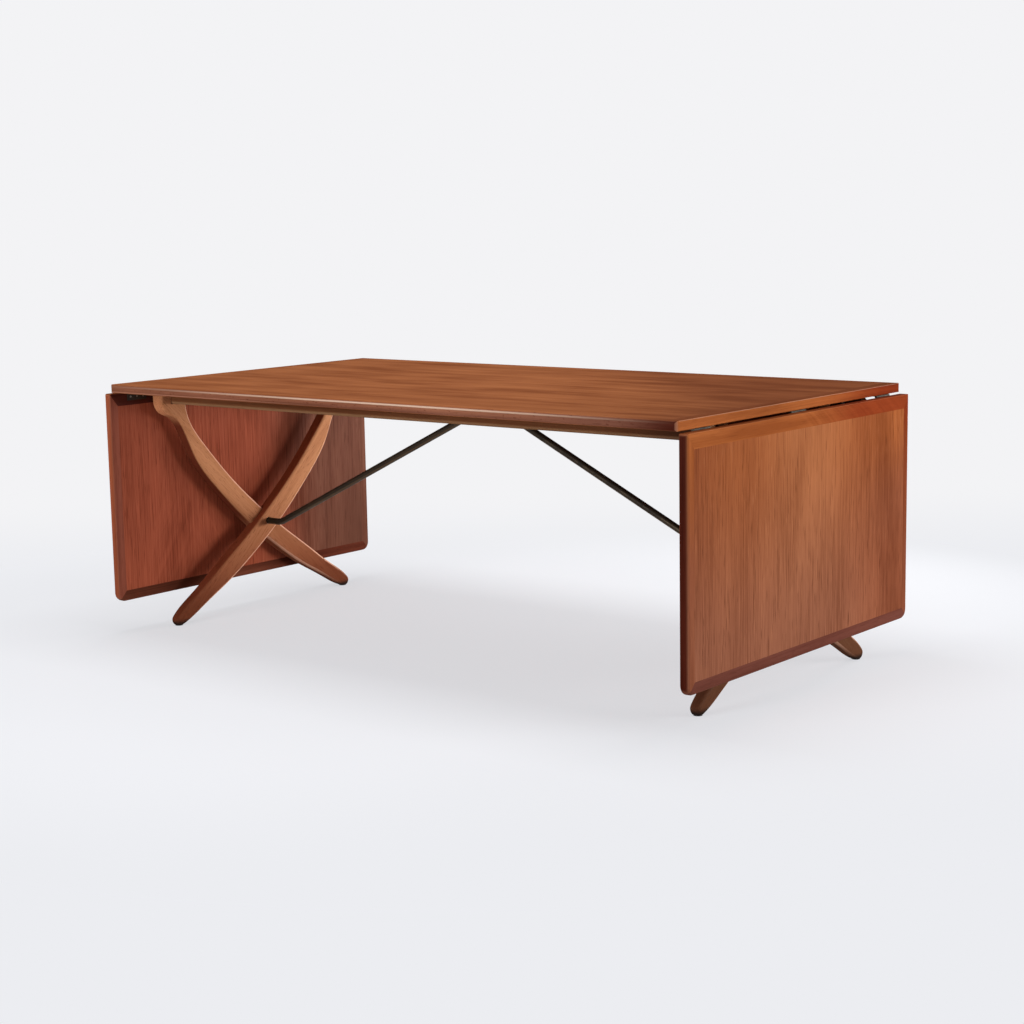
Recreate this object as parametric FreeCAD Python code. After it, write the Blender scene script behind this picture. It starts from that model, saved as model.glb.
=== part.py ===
import FreeCAD, Part
import math
import os

# Drop-leaf dining table, leaves hanging. Millimetres, X along the table, Y across it, Z up.
# The origin is on the floor under the middle of the top.

V = FreeCAD.Vector
os.makedirs("parts", exist_ok=True)

# Points nearer to each other than this count as one place
match_tolerance = 0.015

# Top and leaves
table_height = 710.0
top_length = 1900.0
top_width = 1045.0
board_thick = 24.0
leaf_length = 594.0
leaf_joint_gap = 0.8
lipping_width = 30.0
leaf_side_lipping = 28.0
leaf_end_lipping = 30.0
leaf_hinge_lipping = 36.0
edge_round_upper = 9.0
edge_round_lower = 6.0
joint_edge_round = 2.0
top_corner_round = 10.0
leaf_hinge_corner_round = 10.0
leaf_free_corner_round = 25.0
leaf_swing_degrees = 90

# Hinges
hinge_drop = 3.0
hinge_count = 3
hinge_spacing = 425.0
hinge_length = 70.0
hinge_plate_width = 24.0
hinge_plate_thick = 1.6
barrel_radius = 2.9
barrel_gap = 0.3
knuckle_count = 5
hinge_pin_radius = 1.4
hinge_pin_clearance = 0.05
hinge_screw_spacing = 23.0
hinge_screw_head_radius = 3.2
hinge_screw_radius = 1.6
hinge_screw_length = 15.0

# Long rails and cross rails
rail_face_offset = 346.0
rail_thick = 24.0
rail_depth = 45.0
rail_edge_round = 12.0
rail_end_bevel = 10.0
leaf_stop_gap = 0.3
cross_rail_thick = 22.0
cross_rail_setback = 81.0
centre_rail_width = 130.0
centre_rail_depth = 24.0
dowel_radius = 5.0
dowel_depth = 14.0
cross_dowel_spacing = 20.0
top_dowel_spacing = 330.0
top_dowel_count = 5

# Legs: two sabre legs cross at each end of the table
leg_thick = 40.0
leg_toe_thick = 27.0
leg_taper_share = 0.35
leg_inner_setback = 56.0
leg_outer_setback = 32.0
leg_edge_round = 9.0
leg_width_head = 46.0
leg_width_upper = 65.0
leg_width_lower = 62.0
toe_radius = 17.5
toe_flat_depth = 4.0
leg_curve_shares = ((0.910, 0.889), (0.419, 0.440), (-0.621, 0.152))
toe_offset_share = -1.03
edge_station_shares = (0.13, 0.26, 0.40, 0.55, 0.70, 0.85)
horn_depth = 37.0
head_depth = 94.0
shoulder_width = 58.0
horn_straight_share = 0.30
horn_outline_shares = ((0.81, 0.62), (0.30, 0.80), (-0.40, 0.925), (-1.08, 1.235))
neck_outline_shares = ((-1.70, 0.787),)

# Floor glides
glide_height = 3.0
glide_radius = 11.0
glide_edge_round = 0.8
glide_spigot_radius = 3.5
glide_spigot_length = 9.0

# Stretcher rods, their nuts and the hub under the middle of the top
rod_radius = 9.5
rod_hole_clearance = 0.5
rod_hole_chamfer = 1.5
rod_height_share = 0.379
rod_peak_drop = 53.5
rod_corner_setback = 128.0
rod_bend_radius = 60.0
rod_inner_end = 20.0
washer_radius = 17.0
washer_thick = 2.0
nut_radius = 15.5
nut_thick = 8.0
nut_sides = 6
rod_end_proud = 1.5
hub_half_length = 30.0
hub_half_width = 15.0
hub_height = 38.0
hub_edge_round = 3.0
flange_half_length = 62.0
flange_half_width = 20.0
flange_thick = 4.0

# Leaf supports: slides under the top, their keepers and stop pins
slide_offset = 240.0
slide_width = 36.0
slide_height = 24.0
slide_length = 560.0
slide_recess = 60.0
slide_edge_round = 2.0
slide_top_clearance = 0.4
slide_side_clearance = 0.4
slide_floor_clearance = 0.3
finger_groove_radius = 9.0
finger_groove_setback = 26.0
keeper_setback = 188.0
keeper_thick = 30.0
keeper_wall = 16.0
keeper_floor = 10.0
stop_pin_radius = 4.0
stop_pin_proud = 9.0
stop_pin_setback = 16.0

# Screws
wood_screw_radius = 2.5
wood_screw_head_radius = 5.0
wood_screw_head_height = 3.0
head_screw_length = 46.0
head_screw_spacing = 18.0
top_screw_bite = 14.0
top_screw_sink = 24.0
top_screw_spacing = 130.0
hub_screw_length = 20.0
sink_radius = 6.0

# Sizes worked out from the ones above
underside = table_height - board_thick
half_length = top_length / 2
half_width = top_width / 2
hinge_height = underside - hinge_drop
leaf_face = half_length + hinge_drop
rail_bottom = underside - rail_depth
rail_inner_face = rail_face_offset - rail_thick
rail_half_length = leaf_face - leaf_stop_gap
cross_rail_outer = half_length - cross_rail_setback + cross_rail_thick / 2
cross_rail_inner = cross_rail_outer - cross_rail_thick
centre_rail_bottom = underside - centre_rail_depth
inner_leg_centre = half_length - leg_inner_setback
outer_leg_centre = half_length - leg_outer_setback
lap_plane = (inner_leg_centre + outer_leg_centre) / 2
outer_leg_face = outer_leg_centre + leg_thick / 2
inner_leg_face = inner_leg_centre - leg_thick / 2
taper_height = leg_taper_share * underside
toe_centre_height = glide_height + toe_radius - toe_flat_depth
toe_offset = toe_offset_share * rail_face_offset
rod_low_height = rod_height_share * underside
rod_peak_height = table_height - rod_peak_drop
rod_corner_offset = half_length - rod_corner_setback
rod_slope = (rod_peak_height - rod_low_height) / rod_corner_offset
rod_angle = math.atan(rod_slope)
rod_outer_end = outer_leg_face + washer_thick + nut_thick + rod_end_proud
slide_top = underside - slide_top_clearance
slide_bottom = slide_top - slide_height
slide_tip = leaf_face - slide_recess
slide_tail = slide_tip - slide_length
slot_half_width = slide_width / 2 + slide_side_clearance
keeper_offset = cross_rail_inner - keeper_setback
slot_floor = slide_bottom - slide_floor_clearance
sides = (1, -1)


def block(x_low, x_high, y_low, y_high, z_low, z_high):
    corner = V(x_low, y_low, z_low)
    return Part.makeBox(x_high - x_low, y_high - y_low, z_high - z_low, corner)


def joined(shapes):
    whole = shapes[0]
    for shape in shapes[1:]:
        whole = whole.fuse(shape)
    return whole.removeSplitter()


def without(shape, cutters):
    for cutter in cutters:
        shape = shape.cut(cutter)
    return shape


def mirrored(shape):
    return shape.mirror(V(0, 0, 0), V(1, 0, 0))


def flipped(shape):
    return shape.mirror(V(0, 0, 0), V(0, 1, 0))


def single(shape):
    return shape.Solids[0]


def same(first, second):
    return abs(first - second) < match_tolerance


def edges_along_x(shape, height):
    found = []
    for edge in shape.Edges:
        ends = [vertex.Point for vertex in edge.Vertexes]
        level = all(same(end.z, height) for end in ends)
        if level and same(ends[0].y, ends[-1].y) and not same(ends[0].x, ends[-1].x):
            found.append(edge)
    return found


def edges_at(shape, height):
    return [edge for edge in shape.Edges if all(same(vertex.Z, height) for vertex in edge.Vertexes)]


def upright_edges(shape, x_place):
    found = []
    for edge in shape.Edges:
        ends = [vertex.Point for vertex in edge.Vertexes]
        if all(same(end.x, x_place) for end in ends) and same(ends[0].y, ends[-1].y):
            found.append(edge)
    return found


def plan_prism(points, z_low, z_high):
    corners = [V(x, y, z_low) for x, y in points]
    outline = Part.makePolygon(corners + corners[:1])
    return Part.Face(outline).extrude(V(0, 0, z_high - z_low))


def mitred_pieces(board, outer, inner, z_low, z_high):
    # The board cut into its core panel and the four mitred lippings round it
    x0, x1, y0, y1 = outer
    a0, a1, b0, b1 = inner
    outlines = {
        "panel": ((a0, b0), (a1, b0), (a1, b1), (a0, b1)),
        "low_x": ((x0, y0), (a0, b0), (a0, b1), (x0, y1)),
        "high_x": ((x1, y0), (x1, y1), (a1, b1), (a1, b0)),
        "front": ((x0, y0), (x1, y0), (a1, b0), (a0, b0)),
        "rear": ((x0, y1), (a0, b1), (a1, b1), (x1, y1)),
    }
    return {name: board.common(plan_prism(points, z_low, z_high)) for name, points in outlines.items()}


def end_arris(x_low, x_high, z_low, z_high):
    # A bar with small rounds along the edges that meet at a leaf joint
    bar = block(x_low, x_high, -half_width, half_width, z_low, z_high)
    lines = [edge for edge in bar.Edges if edge.Length > top_width - joint_edge_round]
    picked = [edge for edge in lines if same(edge.Vertexes[0].X, edge.Vertexes[1].X)]
    across = [edge for edge in picked if not same(edge.Vertexes[0].Y, edge.Vertexes[1].Y)]
    return bar.makeFillet(joint_edge_round, across)


def top_board():
    board = block(-half_length, half_length, -half_width, half_width, underside, table_height)
    board = board.makeFillet(edge_round_upper, edges_along_x(board, table_height))
    board = board.makeFillet(edge_round_lower, edges_along_x(board, underside))
    plan = block(-half_length, half_length, -half_width, half_width, underside, table_height)
    corners = upright_edges(plan, half_length) + upright_edges(plan, -half_length)
    plan = plan.makeFillet(top_corner_round, corners)
    ends = end_arris(-half_length, half_length, underside, table_height)
    return board.common(plan).common(ends)


def leaf_board():
    # The right leaf as it lies when raised, level with the top
    near = half_length + leaf_joint_gap
    far = near + leaf_length
    board = block(near, far, -half_width, half_width, underside, table_height)
    board = board.makeFillet(leaf_free_corner_round, upright_edges(board, far))
    upper = [edge for edge in edges_at(board, table_height) if edge.BoundBox.XMax > near + joint_edge_round]
    board = board.makeFillet(edge_round_upper, upper)
    lower = [edge for edge in edges_at(board, underside) if edge.BoundBox.XMax > near + joint_edge_round]
    board = board.makeFillet(edge_round_lower, lower)
    plan = block(near, far, -half_width, half_width, underside, table_height)
    plan = plan.makeFillet(leaf_hinge_corner_round, upright_edges(plan, near))
    arris = end_arris(near, far + leaf_free_corner_round, underside, table_height)
    return board.common(plan).common(arris)


def hung(shape):
    # Swings a piece of the raised right leaf down to where it hangs
    copy = shape.copy()
    copy.rotate(V(half_length, 0, hinge_height), V(0, 1, 0), leaf_swing_degrees)
    return copy


def hinge_places():
    middle = (hinge_count - 1) / 2
    return [(index - middle) * hinge_spacing for index in range(hinge_count)]


def knuckles(y_centre, first):
    # Every second knuckle of one hinge barrel, standing on the hinge line at the right end
    pitch = hinge_length / knuckle_count
    pieces = []
    for index in range(first, knuckle_count, 2):
        y_start = y_centre - hinge_length / 2 + index * pitch + barrel_gap / 2
        place = V(half_length, y_start, hinge_height)
        length = pitch - barrel_gap
        barrel = Part.makeCylinder(barrel_radius, length, place, V(0, 1, 0))
        bore = Part.makeCylinder(hinge_pin_radius + hinge_pin_clearance, length, place, V(0, 1, 0))
        tongue = block(-barrel_radius - barrel_gap, 0, 0, length, 0, hinge_plate_thick)
        tongue.translate(V(half_length, y_start, underside - hinge_plate_thick))
        pieces.append(barrel.fuse(tongue).cut(bore))
    return pieces


def hinge_screw_places(y_centre):
    reach = (hinge_plate_width + barrel_radius + barrel_gap) / 2
    return [(half_length - reach, y_centre + step * hinge_screw_spacing) for step in (-1, 0, 1)]


def flat_head_screw(place, way, head_radius, radius, head_height, length):
    # A countersunk screw: its head is flush at place and it runs along way
    head = Part.makeCone(head_radius, radius, head_height, place, way)
    shank = Part.makeCylinder(radius, length - head_height, place + way * head_height, way)
    return head.fuse(shank)


def hinge_screws(y_centre):
    # Screws of the plate under the top, driven upwards
    screws = []
    for x_place, y_place in hinge_screw_places(y_centre):
        place = V(x_place, y_place, underside - hinge_plate_thick)
        screws.append(flat_head_screw(place, V(0, 0, 1), hinge_screw_head_radius,
                                      hinge_screw_radius, hinge_plate_thick, hinge_screw_length))
    return screws


def hinge_plate(y_centre, first):
    # A plate on the underside, left of the hinge line, with its own knuckles
    edge = half_length - barrel_radius - barrel_gap
    y_low = y_centre - hinge_length / 2
    plate = block(half_length - hinge_plate_width, edge, y_low, y_low + hinge_length,
                  underside - hinge_plate_thick, underside)
    return joined([plate] + knuckles(y_centre, first))


def as_leaf_side(shape):
    # A hinge piece on the underside of the top, turned over to the leaf's inner face
    copy = shape.mirror(V(half_length, 0, 0), V(1, 0, 0))
    return hung(copy)


def top_hinge_parts():
    plates = []
    screws = []
    for y_centre in hinge_places():
        own = hinge_screws(y_centre)
        plates.append(without(hinge_plate(y_centre, 0), own))
        screws.extend(own)
    return plates, screws


def leaf_hinge_parts():
    plates = []
    screws = []
    for y_centre in hinge_places():
        own = hinge_screws(y_centre)
        plates.append(as_leaf_side(without(hinge_plate(y_centre, 1), own)))
        screws.extend(as_leaf_side(screw) for screw in own)
    return plates, screws


def hinge_pins():
    pins = []
    for y_centre in hinge_places():
        place = V(half_length, y_centre - hinge_length / 2, hinge_height)
        pins.append(Part.makeCylinder(hinge_pin_radius, hinge_length, place, V(0, 1, 0)))
    return pins


def long_rail():
    # The rear rail, with a round lower edge and bevelled ends that stop the leaves
    rail = block(-rail_half_length, rail_half_length, rail_inner_face, rail_face_offset,
                 rail_bottom, underside)
    lower = [edge for edge in edges_along_x(rail, rail_bottom)
             if same(edge.Vertexes[0].Y, rail_face_offset)]
    rail = rail.makeFillet(rail_edge_round, lower)
    for side in sides:
        tip = V(side * rail_half_length, rail_inner_face, underside)
        corners = [tip, tip - V(side * rail_end_bevel, 0, 0), tip - V(0, 0, rail_end_bevel), tip]
        wedge = Part.Face(Part.makePolygon(corners)).extrude(V(0, rail_thick, 0))
        rail = rail.cut(wedge)
    return rail


def slide_slot(x_low, x_high, y_centre):
    return block(x_low, x_high, y_centre - slot_half_width, y_centre + slot_half_width,
                 slot_floor, underside)


def end_cross_rail():
    rail = block(cross_rail_inner, cross_rail_outer, -rail_inner_face, rail_inner_face,
                 rail_bottom, underside)
    slots = [slide_slot(cross_rail_inner, cross_rail_outer, side * slide_offset) for side in sides]
    return without(rail, slots)


def centre_cross_rail():
    return block(-centre_rail_width / 2, centre_rail_width / 2, -rail_inner_face, rail_inner_face,
                 centre_rail_bottom, underside)


def cross_dowels():
    # Dowels that tie the ends of the cross rails to the long rails
    dowels = []
    end_x = (cross_rail_inner + cross_rail_outer) / 2
    end_z = (rail_bottom + underside) / 2
    centre_z = (centre_rail_bottom + underside) / 2
    places = []
    for side in sides:
        places.append((side * end_x, end_z - cross_dowel_spacing / 2))
        places.append((side * end_x, end_z + cross_dowel_spacing / 2))
        places.append((side * cross_dowel_spacing, centre_z))
    for x_place, z_place in places:
        for side in sides:
            start = V(x_place, side * (rail_inner_face - dowel_depth), z_place)
            dowels.append(Part.makeCylinder(dowel_radius, 2 * dowel_depth, start, V(0, side, 0)))
    return dowels


def top_dowels():
    # Upright dowels between the long rails and the top
    dowels = []
    middle = (top_dowel_count - 1) / 2
    y_place = (rail_inner_face + rail_face_offset) / 2
    for side in sides:
        for index in range(top_dowel_count):
            start = V((index - middle) * top_dowel_spacing, side * y_place, underside - dowel_depth)
            dowels.append(Part.makeCylinder(dowel_radius, 2 * dowel_depth, start, V(0, 0, 1)))
    return dowels


def leg_controls():
    points = [(y_share * rail_face_offset, z_share * underside) for y_share, z_share in leg_curve_shares]
    return points + [(toe_offset, toe_centre_height)]


def leg_station(share):
    # Centre of the leg and its unit direction towards the toe, at a share of its curve
    rest = 1 - share
    weights = (rest ** 3, 3 * rest ** 2 * share, 3 * rest * share ** 2, share ** 3)
    slopes = (-rest ** 2, rest ** 2 - 2 * rest * share, 2 * rest * share - share ** 2, share ** 2)
    controls = leg_controls()
    centre = [sum(w * point[axis] for w, point in zip(weights, controls)) for axis in (0, 1)]
    way = [sum(w * point[axis] for w, point in zip(slopes, controls)) for axis in (0, 1)]
    length = math.hypot(way[0], way[1])
    return V(0, centre[0], centre[1]), V(0, way[0] / length, way[1] / length)


def leg_half_width(share):
    widths = (leg_width_head, leg_width_upper, leg_width_lower, 2 * toe_radius)
    place = share * (len(widths) - 1)
    index = min(int(place), len(widths) - 2)
    part = place - index
    return (widths[index] * (1 - part) + widths[index + 1] * part) / 2


def leg_edge(side):
    # Points along one long edge of the leg: side 1 is the lower edge, -1 the upper one
    points = []
    for share in edge_station_shares:
        centre, way = leg_station(share)
        across = V(0, -way.z, way.y) * leg_half_width(share)
        points.append(centre + across * side)
    return points


def toe_points():
    # The round toe, from the lower edge to the upper one
    centre, way = leg_station(1)
    across = V(0, -way.z, way.y)
    points = []
    for degrees in (90, 45, 0, -45, -90):
        angle = math.radians(degrees)
        points.append(centre + (way * math.cos(angle) + across * math.sin(angle)) * toe_radius)
    return points


def head_points(shares):
    # Points of the leg's head, measured from the rail's face and from under the top
    return [V(0, rail_face_offset + y * horn_depth, underside - z * head_depth) for y, z in shares]


def leg_outline():
    horn_top = V(0, rail_face_offset + horn_depth, underside)
    horn_low = horn_top - V(0, 0, horn_straight_share * head_depth)
    neck_top = V(0, rail_face_offset - shoulder_width, underside)
    neck_low = neck_top - V(0, 0, rail_depth)
    points = [horn_top, horn_low] + head_points(horn_outline_shares) + leg_edge(1) + toe_points()
    points += leg_edge(-1)[::-1] + head_points(neck_outline_shares) + [neck_low, neck_top]
    curve = Part.BSplineCurve()
    curve.interpolate(points)
    edges = [Part.LineSegment(neck_top, horn_top).toShape()]
    knots = curve.getKnots()
    for start, end in zip(knots[:-1], knots[1:]):
        stretch = curve.copy()
        stretch.segment(start, end)
        edges.append(stretch.toShape())
    return Part.Wire(Part.__sortEdges__(edges))


def leg_half_thickness(height):
    # Full above the taper's start, then curving in to the toe
    narrowing = (leg_thick - leg_toe_thick) / 2
    radius = (taper_height ** 2 + narrowing ** 2) / (2 * narrowing)
    reach = taper_height - height
    return leg_thick / 2 - radius + math.sqrt(radius ** 2 - reach ** 2)


def leg_thickness_slab(centre_x):
    # What a leg's thickness leaves, seen along the width of the table
    half = leg_thick / 2
    low = -toe_radius
    middle = (taper_height + low) / 2
    lines = []
    for side in sides:
        start = V(centre_x + side * half, -half_width, taper_height)
        through = V(centre_x + side * leg_half_thickness(middle), -half_width, middle)
        end = V(centre_x + side * leg_half_thickness(low), -half_width, low)
        lines.append(Part.Arc(start, through, end).toShape())
        lines.append(Part.LineSegment(start, V(start.x, start.y, table_height)).toShape())
    for height, reach in ((low, leg_half_thickness(low)), (table_height, half)):
        ends = [V(centre_x + side * reach, -half_width, height) for side in sides]
        lines.append(Part.LineSegment(ends[0], ends[1]).toShape())
    return Part.Face(Part.Wire(Part.__sortEdges__(lines))).extrude(V(0, top_width, 0))


def leg_blank(centre_x):
    # A leg with its head at the rear rail and its toe at the front
    outline = leg_outline()
    outline.translate(V(centre_x - leg_thick / 2, 0, 0))
    leg = Part.Face(outline).extrude(V(leg_thick, 0, 0))
    leg = single(leg.common(leg_thickness_slab(centre_x)))
    rounded = []
    for edge in leg.Edges:
        box = edge.BoundBox
        outward = abs(box.Center.x - centre_x) > leg_thick / 4
        level = same(box.ZMin, underside) and same(box.ZMax, underside)
        seam = same(box.ZMin, taper_height) and same(box.ZMax, taper_height)
        if outward and not level and not seam:
            rounded.append(edge)
    leg = leg.makeFillet(leg_edge_round, rounded)
    x_low = centre_x - leg_thick
    rail_space = block(x_low, x_low + 2 * leg_thick, 0, rail_face_offset, rail_bottom, underside)
    under_toe = block(x_low, x_low + 2 * leg_thick, -top_width, 0, -toe_radius, glide_height)
    return without(leg, [rail_space, under_toe])


def glide(centre_x):
    disc = Part.makeCylinder(glide_radius, glide_height, V(centre_x, toe_offset, 0))
    lower = [edge for edge in edges_at(disc, 0) if edge.Closed]
    disc = disc.makeFillet(glide_edge_round, lower)
    place = V(centre_x, toe_offset, glide_height)
    return disc.fuse(Part.makeCylinder(glide_spigot_radius, glide_spigot_length, place)).removeSplitter()


def rod_hole():
    # The hole through both legs, chamfered where the rod comes out at the inner face
    mouth = V(inner_leg_face, 0, rod_low_height)
    length = half_length - inner_leg_face
    radius = rod_radius + rod_hole_clearance
    chamfer = Part.makeCone(radius + rod_hole_chamfer, radius, rod_hole_chamfer, mouth, V(1, 0, 0))
    return Part.makeCylinder(radius, length, mouth, V(1, 0, 0)).fuse(chamfer)


def right_legs():
    # The crossed pair at the right end: each is let into the other up to the lap plane
    inner = leg_blank(inner_leg_centre)
    outer = flipped(leg_blank(outer_leg_centre))
    reach = 2 * leg_thick
    beyond = block(lap_plane, lap_plane + reach, -half_width, half_width, 0, table_height)
    before = block(lap_plane - reach, lap_plane, -half_width, half_width, 0, table_height)
    inner_cut = inner.cut(outer.common(beyond))
    outer_cut = outer.cut(inner.common(before))
    inner_glide = glide(inner_leg_centre)
    outer_glide = flipped(glide(outer_leg_centre))
    inner_leg = without(inner_cut, [rod_hole(), inner_glide])
    outer_leg = without(outer_cut, [rod_hole(), outer_glide])
    return inner_leg, outer_leg, inner_glide, outer_glide


def rod():
    # The right stretcher rod: level through the crossed legs, then rising to the hub
    corner = V(rod_corner_offset, 0, rod_low_height)
    rise = V(-math.cos(rod_angle), 0, math.sin(rod_angle))
    tangent = rod_bend_radius * math.tan(rod_angle / 2)
    outer = V(rod_outer_end, 0, rod_low_height)
    bend_start = corner + V(tangent, 0, 0)
    bend_end = corner + rise * tangent
    centre = bend_start + V(0, 0, rod_bend_radius)
    half_turn = rod_angle / 2
    bend_middle = centre + V(-math.sin(half_turn), 0, -math.cos(half_turn)) * rod_bend_radius
    inner = corner + rise * ((rod_corner_offset - rod_inner_end) / math.cos(rod_angle))
    path = Part.Wire([
        Part.LineSegment(outer, bend_start).toShape(),
        Part.Arc(bend_start, bend_middle, bend_end).toShape(),
        Part.LineSegment(bend_end, inner).toShape(),
    ])
    section = Part.Wire([Part.makeCircle(rod_radius, outer, V(1, 0, 0))])
    return single(path.makePipeShell([section], True, False))


def washer():
    place = V(outer_leg_face, 0, rod_low_height)
    disc = Part.makeCylinder(washer_radius, washer_thick, place, V(1, 0, 0))
    return disc.cut(Part.makeCylinder(rod_radius, washer_thick, place, V(1, 0, 0)))


def nut():
    place = V(outer_leg_face + washer_thick, 0, rod_low_height)
    corners = []
    for index in range(nut_sides + 1):
        angle = 2 * math.pi * index / nut_sides
        corners.append(place + V(0, math.cos(angle), math.sin(angle)) * nut_radius)
    body = Part.Face(Part.makePolygon(corners)).extrude(V(nut_thick, 0, 0))
    return body.cut(Part.makeCylinder(rod_radius, nut_thick, place, V(1, 0, 0)))


def hub_screws():
    screws = []
    x_place = (hub_half_length + rod_slope * hub_height + flange_half_length) / 2
    y_place = flange_half_width - wood_screw_head_radius - hub_edge_round / 2
    for x_side in sides:
        for y_side in sides:
            place = V(x_side * x_place, y_side * y_place, centre_rail_bottom - flange_thick)
            screws.append(flat_head_screw(place, V(0, 0, 1), wood_screw_head_radius, wood_screw_radius,
                                          wood_screw_head_height, hub_screw_length))
    return screws


def hub(rods, screws):
    # The cast block that takes the upper ends of both rods, on its flange
    top = centre_rail_bottom - flange_thick
    bottom = centre_rail_bottom - hub_height
    spread = rod_slope * (top - bottom)
    corners = [V(-hub_half_length, -hub_half_width, bottom), V(hub_half_length, -hub_half_width, bottom),
               V(hub_half_length + spread, -hub_half_width, top),
               V(-hub_half_length - spread, -hub_half_width, top)]
    body = Part.Face(Part.makePolygon(corners + corners[:1])).extrude(V(0, 2 * hub_half_width, 0))
    body = body.makeFillet(hub_edge_round, edges_along_x(body, bottom))
    flange = block(-flange_half_length, flange_half_length, -flange_half_width, flange_half_width,
                   top, centre_rail_bottom)
    uprights = upright_edges(flange, flange_half_length) + upright_edges(flange, -flange_half_length)
    flange = flange.makeFillet(hub_edge_round, uprights)
    return without(joined([body, flange]), rods + screws)


def slide(y_side):
    # A right-hand slide, stored behind the leaf, with a finger groove near its tip
    y_centre = y_side * slide_offset
    bar = block(slide_tail, slide_tip, y_centre - slide_width / 2, y_centre + slide_width / 2,
                slide_bottom, slide_top)
    ends = [edge for edge in bar.Edges if same(edge.BoundBox.XMin, slide_tip)]
    bar = bar.makeFillet(slide_edge_round, ends)
    groove_place = V(slide_tip - finger_groove_setback, y_centre - slide_width / 2,
                     slide_bottom - finger_groove_radius / 2)
    groove = Part.makeCylinder(finger_groove_radius, slide_width, groove_place, V(0, 1, 0))
    return bar.cut(groove)


def stop_pin(y_side):
    place = V(slide_tail + stop_pin_setback, y_side * slide_offset, slide_bottom - stop_pin_proud)
    return Part.makeCylinder(stop_pin_radius, stop_pin_proud + slide_height / 2, place)


def keeper_bottom():
    return slot_floor - keeper_floor


def keeper(y_side):
    # A grooved block that carries the slide behind the cross rail
    y_centre = y_side * slide_offset
    half = slot_half_width + keeper_wall
    body = block(keeper_offset, keeper_offset + keeper_thick, y_centre - half, y_centre + half,
                 keeper_bottom(), underside)
    return body.cut(slide_slot(keeper_offset, keeper_offset + keeper_thick, y_centre))


def keeper_screws(y_side):
    screws = []
    length = underside - keeper_bottom() + top_screw_bite
    for wall_side in sides:
        y_place = y_side * slide_offset + wall_side * (slot_half_width + keeper_wall / 2)
        place = V(keeper_offset + keeper_thick / 2, y_place, keeper_bottom())
        screws.append(flat_head_screw(place, V(0, 0, 1), wood_screw_head_radius, wood_screw_radius,
                                      wood_screw_head_height, length))
    return screws


def leg_head_screws():
    # Screws through the right end of both long rails into the horns of the legs
    screws = []
    middle = (rail_bottom + underside) / 2
    for centre_x, side in ((inner_leg_centre, 1), (outer_leg_centre, -1)):
        for step in (-1, 1):
            place = V(centre_x, side * rail_inner_face, middle + step * head_screw_spacing / 2)
            screws.append(flat_head_screw(place, V(0, side, 0), wood_screw_head_radius, wood_screw_radius,
                                          wood_screw_head_height, head_screw_length))
    return screws


def top_screw_places():
    places = []
    end_x = (cross_rail_inner + cross_rail_outer) / 2
    centre_x = (flange_half_length + centre_rail_width / 2) / 2 - cross_dowel_spacing
    for side in sides:
        for step in (-1, 0, 1):
            places.append((side * end_x, step * top_screw_spacing))
            if step:
                places.append((side * centre_x, step * top_screw_spacing))
    return places


def top_screws():
    # Screws from the cross rails up into the top, their heads sunk in the deeper rails
    screws = []
    for x_place, y_place in top_screw_places():
        place = V(x_place, y_place, underside - top_screw_sink)
        screws.append(flat_head_screw(place, V(0, 0, 1), wood_screw_head_radius, wood_screw_radius,
                                      wood_screw_head_height, top_screw_sink + top_screw_bite))
    return screws


def screw_sinks():
    sinks = []
    for x_place, y_place in top_screw_places():
        place = V(x_place, y_place, rail_bottom)
        sinks.append(Part.makeCylinder(sink_radius, rail_depth - top_screw_sink, place))
    return sinks


def both_ends(shapes):
    return list(shapes) + [mirrored(shape) for shape in shapes]


def touching(shape, others):
    box = shape.BoundBox
    return [other for other in others if box.intersect(other.BoundBox)]


def export(name, shapes):
    solids = []
    for shape in shapes:
        solids.extend(shape.Solids)
    whole = solids[0] if len(solids) == 1 else Part.makeCompound(solids)
    whole.exportStep("parts/" + name + ".step")


def export_pair(name, shapes):
    export("right_" + name, shapes)
    export("left_" + name, [mirrored(shape) for shape in shapes])


def export_top(cutters):
    edge = lipping_width
    outer = (-half_length, half_length, -half_width, half_width)
    inner = (-half_length + edge, half_length - edge, -half_width + edge, half_width - edge)
    pieces = mitred_pieces(top_board(), outer, inner, underside, table_height)
    names = {"panel": "top_panel", "low_x": "top_left_lipping", "high_x": "top_right_lipping",
             "front": "top_front_lipping", "rear": "top_rear_lipping"}
    for key, name in names.items():
        export(name, [without(pieces[key], touching(pieces[key], cutters))])


def export_leaves(cutters):
    near = half_length + leaf_joint_gap
    far = near + leaf_length
    outer = (near, far, -half_width, half_width)
    inner = (near + leaf_hinge_lipping, far - leaf_end_lipping,
             -half_width + leaf_side_lipping, half_width - leaf_side_lipping)
    pieces = mitred_pieces(leaf_board(), outer, inner, underside, table_height)
    names = {"panel": "leaf_panel", "low_x": "leaf_hinge_lipping", "high_x": "leaf_end_lipping",
             "front": "leaf_front_lipping", "rear": "leaf_rear_lipping"}
    for key, name in names.items():
        piece = hung(pieces[key])
        export_pair(name, [without(piece, touching(piece, cutters))])


def export_hinges(top_plates, top_plate_screws, leaf_plates, leaf_plate_screws):
    export_pair("hinge_top_plates", top_plates)
    export_pair("hinge_top_screws", top_plate_screws)
    export_pair("hinge_leaf_plates", leaf_plates)
    export_pair("hinge_leaf_screws", leaf_plate_screws)
    export_pair("hinge_pins", hinge_pins())


def export_rails(dowels, uprights, screws, head_screws):
    rear = long_rail()
    for name, rail in (("rear_rail", rear), ("front_rail", flipped(rear))):
        export(name, [without(rail, touching(rail, dowels + uprights + head_screws))])
    end_rail = end_cross_rail()
    sunk = without(end_rail, touching(end_rail, dowels + screws + screw_sinks()))
    export_pair("cross_rail", [sunk])


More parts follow.
